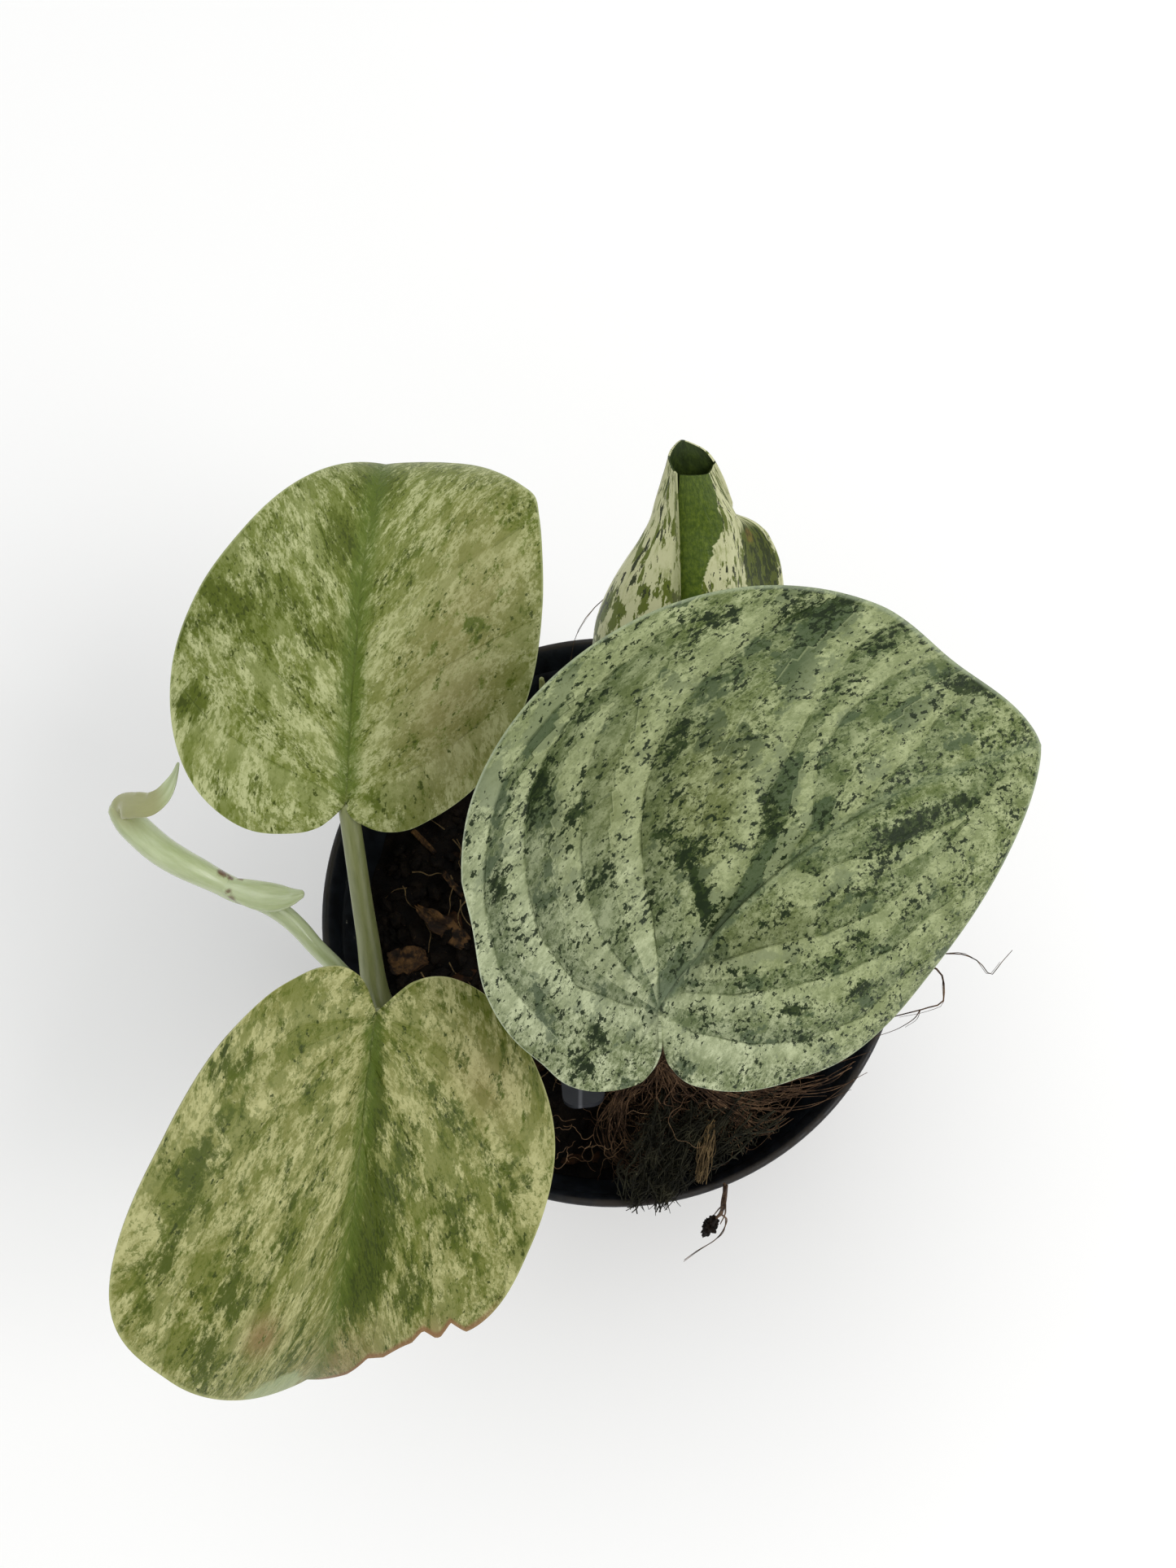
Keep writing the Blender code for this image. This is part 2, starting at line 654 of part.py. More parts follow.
def stem_foot(stem, lean):
    """Where a stem's foot is in the soil, and where it comes out."""
    x, y, _ = stem[0]
    return (x + lean[0], y + lean[1], SOIL_LEVEL - STEM_DEPTH), stem[0]


def build_left_stem(surface):
    """The left cutting: a short stem with the stalks of the back-left and front-left leaves."""
    foot = stem_foot(LEFT_STEM, LEFT_STEM_LEAN)
    back_end = seat_under(LEAF_BACK_LEFT, Vector(BACK_STALK_END), STALK_TOP_RADIUS)
    front_end = seat_under(LEAF_FRONT_LEFT, Vector(FRONT_STALK_END), STALK_TOP_RADIUS)
    pieces = [
        sweep("stem", (foot[0], *LEFT_STEM), LEFT_STEM_RADII, STEM_SIDES, surface),
        sweep("stalk", (*BACK_STALK, back_end), BACK_STALK_RADII, STALK_SIDES, surface),
        sweep("stalk", (*FRONT_STALK, front_end), FRONT_STALK_RADII, STALK_SIDES, surface),
    ]
    fuse(pieces, "stem_left")
    return foot


def build_right_stem(surface):
    """The right cutting: a short stem with the stalks of the right leaf and of the furled leaf."""
    foot = stem_foot(RIGHT_STEM, RIGHT_STEM_LEAN)
    right_end = seat_under(LEAF_RIGHT, Vector(RIGHT_STALK_END), STALK_TOP_RADIUS)
    base, _, along, _, front = furled_frame()
    furled_end = base - front * FURLED_DEPTH * FURLED_LEFT[0] - along * GAP
    furled_path = (*FURLED_STALK, furled_end - along * FURLED_STALK_RUN_IN, furled_end)
    pieces = [
        sweep("stem", (foot[0], *RIGHT_STEM), RIGHT_STEM_RADII, STEM_SIDES, surface),
        sweep("stalk", (*RIGHT_STALK, right_end), RIGHT_STALK_RADII, STALK_SIDES, surface),
        sweep("stalk", furled_path, FURLED_STALK_RADII, STALK_SIDES, surface, samples=14),
    ]
    fuse(pieces, "stem_right")
    return foot


def furled_frame():
    """The rolled blade's base and length, and its directions: along, to the right and to the front."""
    base = np.array(FURLED_BASE)
    along = np.array(FURLED_TIP) - base
    length = np.linalg.norm(along)
    along /= length
    right = np.array((1.0, 0.0, 0.0))
    right -= along * right.dot(along)
    right /= np.linalg.norm(right)
    return base, length, along, right, np.cross(right, along)


def furled_places(rows, across):
    """Places on the rolled blade's middle layer, by rows from its base and by turns across it."""
    base, length, along, right, front = furled_frame()
    turns_at = np.arange(len(FURLED_TOPS))
    places = np.empty((rows, across, 3))
    for column, turn in enumerate(np.linspace(0, turns_at[-1], across)):
        turn = np.array([turn])
        station = np.linspace(0, 1, rows) * smooth(turns_at, FURLED_TOPS, turn)
        left = smooth(FURLED_STATIONS, FURLED_LEFT, station)
        lobe = smooth(FURLED_STATIONS, FURLED_RIGHT, station)
        roll = smooth(FURLED_STATIONS, FURLED_ROLL, station)
        lap = smooth(FURLED_STATIONS, FURLED_LAP, station)
        deep = FURLED_DEPTH * left
        section = (
            (-0.15 * left, 0.72 * deep),
            (0.30 * roll, 0.86 * deep),
            (0.80 * roll, 0.62 * deep),
            (roll, 0.15 * deep),
            (0.5 * (roll + lobe), -0.10 * deep),
            (lobe, -0.25 * deep),
            (0.80 * lobe, -0.75 * deep),
            (0 * left, -deep),
            (-0.70 * left, -0.75 * deep),
            (-left, 0 * deep),
            (-0.72 * left, 0.70 * deep),
            (lap, 0.90 * deep + FURLED_LAP_RISE),
        )
        read = smooth(turns_at, np.array(section).reshape(len(section), -1), turn).reshape(2, rows)
        sideways, toward = read[..., None]
        places[:, column] = base + along * (station * length)[:, None] + right * sideways + front * toward
    return places


def build_furled_leaf(surface):
    """The young leaf, still rolled: its right half tucks under its left, and its tip stands open."""
    places = furled_places(FURLED_ROWS, FURLED_ACROSS)
    inward = np.cross(np.gradient(places, axis=0), np.gradient(places, axis=1))
    inward /= np.linalg.norm(inward, axis=2, keepdims=True)
    half = BLADE_THICKNESS / 2
    points = np.concatenate([places - inward * half, places + inward * half]).reshape(-1, 3)
    count = FURLED_ACROSS
    layer = count * FURLED_ROWS
    faces = []
    for row in range(FURLED_ROWS - 1):
        for step in range(count - 1):
            low = row * count + step
            high = low + count
            faces.append((low, high + 1, high))
            faces.append((low, low + 1, high + 1))
    faces += [tuple(layer + corner for corner in reversed(face)) for face in faces]
    border = list(range(count))
    border += [row * count + count - 1 for row in range(1, FURLED_ROWS)]
    border += [(FURLED_ROWS - 1) * count + step for step in range(count - 2, -1, -1)]
    border += [row * count for row in range(FURLED_ROWS - 2, 0, -1)]
    for first, second in zip(border, border[1:] + border[:1]):
        faces.append((second, first, layer + first))
        faces.append((second, layer + first, layer + second))
    return mesh_object("leaf_furled", points, faces, surface)


def build_sprout(surface):
    """A young sprout at the back, a pale spike that curves up out of the soil."""
    x, y = SPROUT_FOOT
    foot = (x, y, SOIL_LEVEL - SPROUT_DEPTH), (x, y, SOIL_LEVEL)
    sweep("sprout", (*foot, SPROUT_BEND, SPROUT_TOP), SPROUT_RADII, 6, surface, samples=9)
    return foot


def build_shoot(surface):
    """The new shoot: a thin stem, a swollen joint with a stub, and a flattened curl at its end."""
    stem = sweep("shoot", SHOOT_PATH, SHOOT_RADII, STALK_SIDES, surface, samples=16)
    stub = sweep("stub", SHOOT_STUB, SHOOT_STUB_RADII, 6, surface, samples=5, flat=SHOOT_STUB_FLAT)
    ribbon = sweep("ribbon", SHOOT_RIBBON, SHOOT_RIBBON_RADII, 6, surface, flat=SHOOT_RIBBON_FLAT)
    return fuse([stem, stub, ribbon], "new_shoot")


def plug_edge(angle):
    """The plug's reach from its middle at an angle, kept inside the pot's wall."""
    oval = 1 / math.hypot(math.cos(angle) / PLUG_HALF_LENGTH, math.sin(angle) / PLUG_HALF_WIDTH)
    oval *= 1 + 0.07 * math.sin(3 * angle + 0.5) + 0.05 * math.sin(7 * angle)
    x, y = PLUG_MIDDLE
    toward = x * math.cos(angle) + y * math.sin(angle)
    wall = -toward + math.sqrt(toward**2 + PLUG_REACH**2 - x**2 - y**2)
    return min(oval, wall)


def plug_height(share):
    """The heap's height at a share of the way from its middle to its edge."""
    return PLUG_FOOT + (PLUG_TOP - PLUG_FOOT) * (1 - share**1.6)


def build_heap(draw, surface):
    """The plug's body: a lumpy heap with a flat underside."""
    x, y = PLUG_MIDDLE
    points = [(x, y, PLUG_FLOOR)]
    rings = [(1.0, PLUG_FLOOR), (1.0, PLUG_FOOT)]
    rings += [(ring / PLUG_RINGS, plug_height(ring / PLUG_RINGS)) for ring in range(PLUG_RINGS - 1, 0, -1)]
    for share, height in rings:
        for step in range(PLUG_SEGMENTS):
            angle = 2 * math.pi * step / PLUG_SEGMENTS
            reach = plug_edge(angle) * share
            lump = draw.uniform(-PLUG_LUMP, PLUG_LUMP) if share < 1 else 0
            points.append((x + reach * math.cos(angle), y + reach * math.sin(angle), height + lump))
    points.append((x, y, PLUG_TOP))
    faces = []
    for step in range(PLUG_SEGMENTS):
        after = (step + 1) % PLUG_SEGMENTS
        faces.append((0, 1 + after, 1 + step))
        for ring in range(len(rings) - 1):
            low = 1 + ring * PLUG_SEGMENTS
            high = low + PLUG_SEGMENTS
            faces.append((low + step, low + after, high + after, high + step))
        last = 1 + (len(rings) - 1) * PLUG_SEGMENTS
        faces.append((last + step, last + after, len(points) - 1))
    return mesh_object("heap", points, faces, surface)


def fibre_route(draw, angle):
    """A root that runs from the heap's top down to its edge, swaying a little."""
    x, y = PLUG_MIDDLE
    reach = plug_edge(angle)
    route = []
    for share in (0.05, 0.4, 0.75, 0.98):
        sway = draw.uniform(-FIBRE_SWAY, FIBRE_SWAY)
        across = x + reach * share * math.cos(angle) - sway * math.sin(angle)
        along = y + reach * share * math.sin(angle) + sway * math.cos(angle)
        route.append((across, along, plug_height(share) + draw.uniform(-FIBRE_RADIUS, FIBRE_RADIUS)))
    return route


def build_plug(surface):
    """The fibrous ball: a lumpy heap with roots over it, some over the rim, and a root that hangs outside."""
    draw = random.Random(SEED)
    pieces = [build_heap(draw, surface)]
    for number in range(FIBRE_COUNT):
        route = fibre_route(draw, 2 * math.pi * (number + draw.uniform(-0.3, 0.3)) / FIBRE_COUNT)
        size = FIBRE_RADIUS * draw.uniform(0.9, 1.5)
        pieces.append(sweep("fibre", route, (size, size, size, size * ROOT_END), 4, surface, samples=6))
    for size, route in PLUG_ROOTS:
        radii = [size] * (len(route) - 1) + [size * ROOT_END]
        pieces.append(sweep("root", route, radii, 5, surface, samples=8))
    pieces.append(sweep("clod", CLOD_ROUTE, CLOD_RADII, 6, surface, samples=5))
    return fuse(pieces, "root_plug")


def plug_hole(foot):
    """The way through the plug for the right stem and its stalks."""
    x, y = foot[0][:2]
    mesh = bmesh.new()
    depth = PLUG_TOP - PLUG_FLOOR + 2 * STEM_DEPTH
    place = Matrix.Translation((x, y, PLUG_FLOOR + depth / 2 - PLUG_LUMP))
    clear = STEM_RADIUS + STEM_HOLE_CLEARANCE
    bmesh.ops.create_cone(
        mesh, cap_ends=True, segments=12, radius1=clear, radius2=clear, depth=depth, matrix=place
    )
    data = bpy.data.meshes.new("way")
    mesh.to_mesh(data)
    mesh.free()
    way = bpy.data.objects.new("way", data)
    bpy.context.scene.collection.objects.link(way)
    return way


def plug_socket():
    """The place in the soil that the plug stands in."""
    x, y = PLUG_MIDDLE
    points = []
    for height in (PLUG_FLOOR - GAP, SOIL_LEVEL + 0.010):
        for step in range(PLUG_SEGMENTS):
            angle = 2 * math.pi * step / PLUG_SEGMENTS
            reach = plug_edge(angle) + 0.0004
            points.append((x + reach * math.cos(angle), y + reach * math.sin(angle), height))
    faces = [tuple(reversed(range(PLUG_SEGMENTS))), tuple(range(PLUG_SEGMENTS, 2 * PLUG_SEGMENTS))]
    for step in range(PLUG_SEGMENTS):
        after = (step + 1) % PLUG_SEGMENTS
        faces.append((step, after, PLUG_SEGMENTS + after, PLUG_SEGMENTS + step))
    return mesh_object("socket", points, faces, None)


def box(name, size, place, tilt, surface, corner=0.0):
    """A thin block with its upright edges rounded off, turned by tilt and set at its place."""
    mesh = bmesh.new()
    bmesh.ops.create_cube(mesh, size=1.0, matrix=Matrix.Diagonal((*size, 1.0)))
    if corner:
        edges = [
            line
            for line in mesh.edges
            if abs(line.verts[0].co.y - line.verts[1].co.y) > size[1] / 2 and line.verts[0].co.z > 0
        ]
        bmesh.ops.bevel(mesh, geom=edges, offset=corner, segments=4, profile=0.5, affect="EDGES")
    data = bpy.data.meshes.new(name)
    bmesh.ops.triangulate(mesh, faces=mesh.faces)
    mesh.to_mesh(data)
    mesh.free()
    obj = bpy.data.objects.new(name, data)
    bpy.context.scene.collection.objects.link(obj)
    obj.location = place
    obj.rotation_euler = [math.radians(angle) for angle in tilt]
    data.materials.append(surface)
    return obj


def build_label(surface):
    """The blank label and the slot in the soil that it stands in."""
    tilt = (LABEL_LEAN, 0, LABEL_TURN)
    turn = Matrix.Rotation(math.radians(LABEL_TURN), 3, "Z")
    turn = turn @ Matrix.Rotation(math.radians(LABEL_LEAN), 3, "X")
    middle = Vector(LABEL_TOP) - turn @ Vector((0, 0, LABEL_LENGTH / 2))
    size = (LABEL_WIDTH, LABEL_THICKNESS, LABEL_LENGTH)
    label = box("plant_label", size, middle, tilt, surface, LABEL_CORNER)
    slot = box("slot", [side + 2 * GAP for side in size], middle, tilt, None)
    return label, slot


def chip_points(size, grow):
    """A splinter of bark: a bent, tapering, flattened block."""
    length, width, depth = (side / 2 + grow for side in size)
    points = []
    for share, spread, lift in ((-1, 0.55, 0.10), (-0.3, 1.0, 0.0), (0.45, 0.8, 0.06), (1, 0.35, 0.22)):
        for aside, up in ((-1, -1), (1, -0.8), (0.8, 1), (-0.9, 0.7)):
            points.append((length * share, width * spread * aside, depth * (up + lift * 4)))
    return points


def chip_mesh(name, chip, grow, surface):
    """One bark chip at its place, or the same grown by a gap as a cutter."""
    size, (x, y), turn, tilt = chip
    faces = [(3, 2, 1, 0), (12, 13, 14, 15)]
    for row in range(3):
        for step in range(4):
            after = (step + 1) % 4
            low = 4 * row
            faces.append((low + step, low + after, low + 4 + after, low + 4 + step))
    obj = mesh_object(name, chip_points(size, grow), faces, surface)
    obj.data.shade_flat()
    obj.location = (x, y, soil_height(x, y) + size[2] * 0.30)
    obj.rotation_euler = (0, math.radians(tilt), math.radians(turn))
    return obj


def build_chips(surface):
    """The bark chips half sunk in the soil, with their own hollows in it."""
    hollows = []
    for number, chip in enumerate(BARK_CHIPS):
        chip_mesh(f"bark_chip_{number + 1}", chip, 0, surface)
        hollows.append(chip_mesh("hollow", chip, GAP * 1.3, None))
    return hollows


clear_scene()
POT_BLACK = material("pot_black", (0.012, 0.013, 0.016), 0.45)
SOIL_DARK = material("soil_dark", (0.020, 0.013, 0.009), 0.95)
STALK_GREEN = material("stalk_green", (0.36, 0.43, 0.20), 0.42)
LEAF_SATIN = material("leaf_satin", (0.33, 0.40, 0.25), 0.45)
LEAF_CREAM = material("leaf_cream", (0.42, 0.46, 0.22), 0.48)
LEAF_YOUNG = material("leaf_young", (0.48, 0.48, 0.34), 0.35)
ROOT_BROWN = material("root_brown", (0.085, 0.045, 0.025), 0.9)
BARK_BROWN = material("bark_brown", (0.20, 0.085, 0.035), 0.85)
LABEL_GREY = material("label_grey", (0.30, 0.30, 0.32), 0.4, alpha=0.75)

build_pot(POT_BLACK)
soil_body = build_soil(SOIL_DARK)
build_leaf("leaf_back_left", LEAF_BACK_LEFT, LEAF_CREAM)
build_leaf("leaf_right", LEAF_RIGHT, LEAF_SATIN)
build_leaf("leaf_front_left", LEAF_FRONT_LEFT, LEAF_CREAM)
build_furled_leaf(LEAF_YOUNG)
left_foot = build_left_stem(STALK_GREEN)
right_foot = build_right_stem(STALK_GREEN)
sprout_foot = build_sprout(STALK_GREEN)
build_shoot(STALK_GREEN)
plug_body = build_plug(ROOT_BROWN)
_, label_slot = build_label(LABEL_GREY)
soil_cutters = [plug_socket(), stem_hole(left_foot, STEM_RADIUS), stem_hole(right_foot, STEM_RADIUS)]
soil_cutters += [stem_hole(sprout_foot, SPROUT_RADIUS), label_slot, *build_chips(BARK_BROWN)]
cut(soil_body, soil_cutters, "soil")
cut(plug_body, [plug_hole(right_foot)], "root_plug")
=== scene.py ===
import json
import math
import random

import bpy
import numpy as np
from mathutils import Matrix, Vector, noise

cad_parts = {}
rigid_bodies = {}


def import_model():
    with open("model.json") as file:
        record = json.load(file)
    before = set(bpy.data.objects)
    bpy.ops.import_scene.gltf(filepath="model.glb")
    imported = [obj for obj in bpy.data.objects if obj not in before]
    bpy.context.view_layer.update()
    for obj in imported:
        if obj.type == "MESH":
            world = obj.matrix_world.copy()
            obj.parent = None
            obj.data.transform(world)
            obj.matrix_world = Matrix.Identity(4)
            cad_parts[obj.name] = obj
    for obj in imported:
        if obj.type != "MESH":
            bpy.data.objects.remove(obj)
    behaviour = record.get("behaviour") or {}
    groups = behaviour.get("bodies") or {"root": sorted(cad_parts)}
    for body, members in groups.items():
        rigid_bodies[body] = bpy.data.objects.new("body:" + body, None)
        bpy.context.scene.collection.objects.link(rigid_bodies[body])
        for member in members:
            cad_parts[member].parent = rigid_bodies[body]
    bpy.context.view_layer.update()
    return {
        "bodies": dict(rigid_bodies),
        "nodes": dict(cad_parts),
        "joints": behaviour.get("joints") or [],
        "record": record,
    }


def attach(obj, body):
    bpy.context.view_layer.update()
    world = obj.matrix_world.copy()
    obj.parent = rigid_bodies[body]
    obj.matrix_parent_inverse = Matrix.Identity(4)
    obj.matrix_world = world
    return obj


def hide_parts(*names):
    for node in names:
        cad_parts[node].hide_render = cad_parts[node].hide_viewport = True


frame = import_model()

# Studio
# A plain pale floor under the pot, two large soft lamps in a white room, and the camera where the photograph
# was taken from: above the front of the pot, looking down and a little back.
CAMERA_PLACE = (-0.0051, -0.0697, 0.3899)
CAMERA_TILT = 18
SENSOR = 36
PICTURE_HEIGHT = 1927
FOCAL_PIXELS = 1800
ROOM_LIGHT = 0.60
FLOOR_SIZE = 6.0
LAMPS = (
    # name, place, size, power, colour
    ("window_lamp", (1.05, -0.45, 1.35), 1.00, 13.0, (1.0, 0.99, 0.97)),
    ("sky_lamp", (-0.40, 0.60, 1.80), 1.60, 9.0, (0.97, 0.99, 1.0)),
)

camera = bpy.data.cameras.new("camera")
camera.sensor_width = SENSOR
camera.lens = SENSOR * FOCAL_PIXELS / PICTURE_HEIGHT
camera.clip_start = 0.01
camera_object = bpy.data.objects.new("camera", camera)
camera_object.location = CAMERA_PLACE
camera_object.rotation_euler = (math.radians(CAMERA_TILT), 0, 0)
bpy.context.scene.collection.objects.link(camera_object)
bpy.context.scene.camera = camera_object

for lamp_name, place, size, power, colour in LAMPS:
    bpy.ops.object.light_add(type="AREA", location=place)
    lamp = bpy.context.object
    lamp.name = lamp_name
    lamp.data.size = size
    lamp.data.energy = power
    lamp.data.color = colour
    lamp.rotation_euler = Vector(place).to_track_quat("Z", "Y").to_euler()

world = bpy.data.worlds.new("studio")
world.use_nodes = True
room = world.node_tree.nodes["Background"].inputs
room["Color"].default_value = (1.0, 1.0, 1.0, 1.0)
room["Strength"].default_value = ROOM_LIGHT
bpy.context.scene.world = world
bpy.context.scene.view_settings.view_transform = "Standard"


def only(piece):
    """Selects one object alone and makes it the active one."""
    bpy.ops.object.select_all(action="DESELECT")
    piece.select_set(True)
    bpy.context.view_layer.objects.active = piece


def primitive(add, name, **settings):
    """A new primitive, added with nothing else selected."""
    bpy.ops.object.select_all(action="DESELECT")
    add(**settings)
    bpy.context.object.name = name
    return bpy.context.object


def shade(tree, kind, inputs=None, **settings):
    """A node with its settings and inputs, each input a plain value or another node's output."""
    made = tree.nodes.new("ShaderNode" + kind)
    for name, value in settings.items():
        setattr(made, name, value)
    for name, value in (inputs or {}).items():
        if isinstance(value, bpy.types.NodeSocket):
            tree.links.new(value, made.inputs[name])
        else:
            made.inputs[name].default_value = value
    return made


def maths(tree, operation, first, second=0.0, third=0.0):
    return shade(tree, "Math", {0: first, 1: second, 2: third}, operation=operation).outputs[0]


def times(tree, first, second):
    return maths(tree, "MULTIPLY", first, second)


def grain(tree, vector, scale, detail=3.0, roughness=0.6, distortion=0.0):
    """Cloudy noise from 0 to 1."""
    inputs = {"Vector": vector, "Scale": scale, "Detail": detail, "Roughness": roughness}
    inputs["Distortion"] = distortion
    return shade(tree, "TexNoise", inputs).outputs[0]


def between(tree, value, low, high):
    """0 below low, 1 above high, and smooth from one to the other."""
    inputs = {"Value": value, "From Min": low, "From Max": high}
    return shade(tree, "MapRange", inputs, interpolation_type="SMOOTHSTEP").outputs[0]


def stretched(tree, vector, scale, turn=(0, 0, 0), shift=(0, 0, 0)):
    inputs = {"Vector": vector, "Scale": scale, "Rotation": turn, "Location": shift}
    return shade(tree, "Mapping", inputs).outputs[0]


def mixed(tree, part, first, second, strength=1.0):
    """One colour laid over another by a part from 0 to 1, weakened by a strength."""
    if strength != 1.0:
        part = times(tree, part, strength)
    return shade(tree, "Mix", {0: part, 6: first, 7: second}, data_type="RGBA").outputs[2]


def rgb(red, green, blue):
    """A linear colour from its values as seen on screen, 0 to 255."""
    return (*[((value / 255 + 0.055) / 1.055) ** 2.4 for value in (red, green, blue)], 1.0)


def surface(name, **uniform):
    """A new material, its node tree, its shader, and the object coordinates."""
    made = bpy.data.materials.new(name)
    made.use_nodes = True
    tree = made.node_tree
    shader = tree.nodes["Principled BSDF"]
    for key, value in uniform.items():
        shader.inputs[key.replace("_", " ").title().replace("Ior", "IOR")].default_value = value
    return made, tree, shader, shade(tree, "TexCoord").outputs["Object"]


floor = primitive(bpy.ops.mesh.primitive_plane_add, "floor", size=FLOOR_SIZE)
floor_paint, tree, shader, place = surface("floor_paint", roughness=0.9)
tint = mixed(tree, grain(tree, place, 3.0), rgb(250, 250, 249), rgb(255, 255, 255))
tree.links.new(tint, shader.inputs["Base Color"])
floor.data.materials.append(floor_paint)

# Pot
# A thin black plastic nursery pot, pressed in one piece: tapered wall, collar under a rolled lip, flat floor
# with drain holes. Its top edge carries a patchy painted highlight, and lime has dried inside it.
POT_HEIGHT = 0.095
RIM_RADIUS = 0.060
COLLAR_RADIUS = 0.0588
COLLAR_FOOT = POT_HEIGHT - 0.010
WALL_TOP = COLLAR_RADIUS - 0.0020
POT_FOOT_RADIUS = 0.0430
FOOT_ROUND = 0.0012
POT_WALL = 0.0013
INSIDE_FOOT = 0.0022
INSIDE_TOP = COLLAR_FOOT - 0.0010
POT_SIDES = 160
DRAIN_CIRCLE = 0.030
DRAIN_RADIUS = 0.0035
DRAINS = 8


def mesh_edit(piece=None):
    """Opens a piece in edit mode with all of it selected."""
    if piece:
        only(piece)
    bpy.ops.object.mode_set(mode="EDIT")
    bpy.ops.mesh.select_mode(type="EDGE")
    bpy.ops.mesh.select_all(action="SELECT")


def closed_below():
    """Fills the selected last ring, turns all faces outward and leaves edit mode."""
    bpy.ops.mesh.edge_face_add()
    bpy.ops.mesh.select_all(action="SELECT")
    bpy.ops.mesh.normals_make_consistent(inside=False)
    bpy.ops.object.mode_set(mode="OBJECT")


def apart(tree, vector):
    """A vector's three numbers."""
    return shade(tree, "SeparateXYZ", {"Vector": vector}).outputs


def dressed(tree, shader, tint, height, depth):
    """Feeds the shader its colour, and a height in metres times depth as its bump."""
    tree.links.new(tint, shader.inputs["Base Color"])
    bump = shade(tree, "Bump", {"Height": height, "Distance": depth, "Strength": 1.0})
    tree.links.new(bump.outputs[0], shader.inputs["Normal"])


def finished(piece, material, smooth_angle, slot, *nodes):
    """Shades a piece, leaves it at the origin unturned, and fixes it to the plant, in its solids' place."""
    only(piece)
    bpy.ops.object.transform_apply(location=True, rotation=True, scale=True)
    piece.data.materials.clear()
    for paint in material if isinstance(material, list) else [material]:
        piece.data.materials.append(paint)
    bpy.ops.object.shade_smooth_by_angle(angle=math.radians(smooth_angle))
    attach(piece, "root")
    if nodes:
        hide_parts(*nodes)


lip = POT_WALL * 0.6
pot_profile = [
    # the outside from the foot up
    (POT_FOOT_RADIUS - FOOT_ROUND / 2, FOOT_ROUND / 6),
    (POT_FOOT_RADIUS, FOOT_ROUND),
    (WALL_TOP - 0.0002, COLLAR_FOOT - 0.0014),
    (WALL_TOP + 0.0005, COLLAR_FOOT - 0.0002),
    (COLLAR_RADIUS - 0.0005, COLLAR_FOOT + 0.0001),
    (COLLAR_RADIUS - 0.0002, COLLAR_FOOT + 0.0007),
    (COLLAR_RADIUS, POT_HEIGHT - 0.0026),
    (RIM_RADIUS - 0.0003, POT_HEIGHT - 0.0021),
]
for turn in [math.radians(angle) for angle in (0, 30, 60, 90, 120, 150)]:
    pot_profile.append((RIM_RADIUS - lip + lip * math.cos(turn), POT_HEIGHT - lip + lip * math.sin(turn)))
pot_profile += [
    # the inside down to the floor
    (COLLAR_RADIUS - POT_WALL, POT_HEIGHT - 0.0022),
    (COLLAR_RADIUS - POT_WALL - 0.0004, COLLAR_FOOT + 0.0010),
    (WALL_TOP - POT_WALL, INSIDE_TOP),
    (POT_FOOT_RADIUS - POT_WALL, INSIDE_FOOT),
    (POT_FOOT_RADIUS - POT_WALL - 0.0008, POT_WALL),
]
radius, height = POT_FOOT_RADIUS - FOOT_ROUND, 0.0
pot = primitive(
    bpy.ops.mesh.primitive_circle_add, "nursery_pot", vertices=POT_SIDES, radius=radius, fill_type="NGON"
)
mesh_edit()
bpy.ops.mesh.region_to_loop()
for next_radius, next_height in pot_profile:
    bpy.ops.mesh.extrude_edges_move(TRANSFORM_OT_translate={"value": (0, 0, next_height - height)})
    size = next_radius / radius
    bpy.ops.transform.resize(value=(size, size, 1.0), center_override=(0, 0, next_height))
    radius, height = next_radius, next_height
closed_below()
for number in range(DRAINS):
    angle = 2 * math.pi * number / DRAINS
    spot = (DRAIN_CIRCLE * math.cos(angle), DRAIN_CIRCLE * math.sin(angle), POT_WALL / 2)
    size = {"vertices": 32, "radius": DRAIN_RADIUS, "depth": 4 * POT_WALL}
    cutter = primitive(bpy.ops.mesh.primitive_cylinder_add, "drain_cutter", location=spot, **size)
    only(pot)
    drain = pot.modifiers.new("drain", "BOOLEAN")
    drain.operation = "DIFFERENCE"
    drain.object = cutter
    bpy.ops.object.modifier_apply(modifier=drain.name)
    bpy.data.objects.remove(cutter, do_unlink=True)

pot_plastic, tree, shader, place = surface("pot_plastic", specular_ior_level=0.32)
above = apart(tree, place)["Z"]
scuffs = grain(tree, stretched(tree, place, (60, 60, 14)), 6.0, 6.0, 0.65)
dust = grain(tree, place, 90.0, 6.0, 0.7)
# painted highlight: the top 0.5 mm of the rim is painted a patchy lighter brownish grey, and made rougher
# there
rim_top_band = between(tree, above, POT_HEIGHT - 0.0006, POT_HEIGHT - 0.0001)
rim_highlight = times(tree, rim_top_band, between(tree, dust, 0.30, 0.62))
lime = between(tree, grain(tree, place, 420.0, 3.0, 0.7), 0.66, 0.72)
lime_band = times(tree, between(tree, above, 0.076, 0.084), between(tree, dust, 0.52, 0.66))
tint = mixed(tree, between(tree, scuffs, 0.35, 0.75), rgb(14, 17, 21), rgb(30, 35, 42))
tint = mixed(tree, rim_highlight, tint, rgb(46, 41, 36))
tint = mixed(tree, times(tree, lime, lime_band), tint, rgb(176, 172, 160))
gloss = maths(tree, "MULTIPLY_ADD", scuffs, 0.30, 0.26)
tree.links.new(maths(tree, "MAXIMUM", gloss, times(tree, rim_highlight, 0.8)), shader.inputs["Roughness"])
dressed(tree, shader, tint, maths(tree, "ADD", scuffs, times(tree, dust, 0.5)), 0.00012)
finished(pot, pot_plastic, 35, "pot_plastic", "pot")

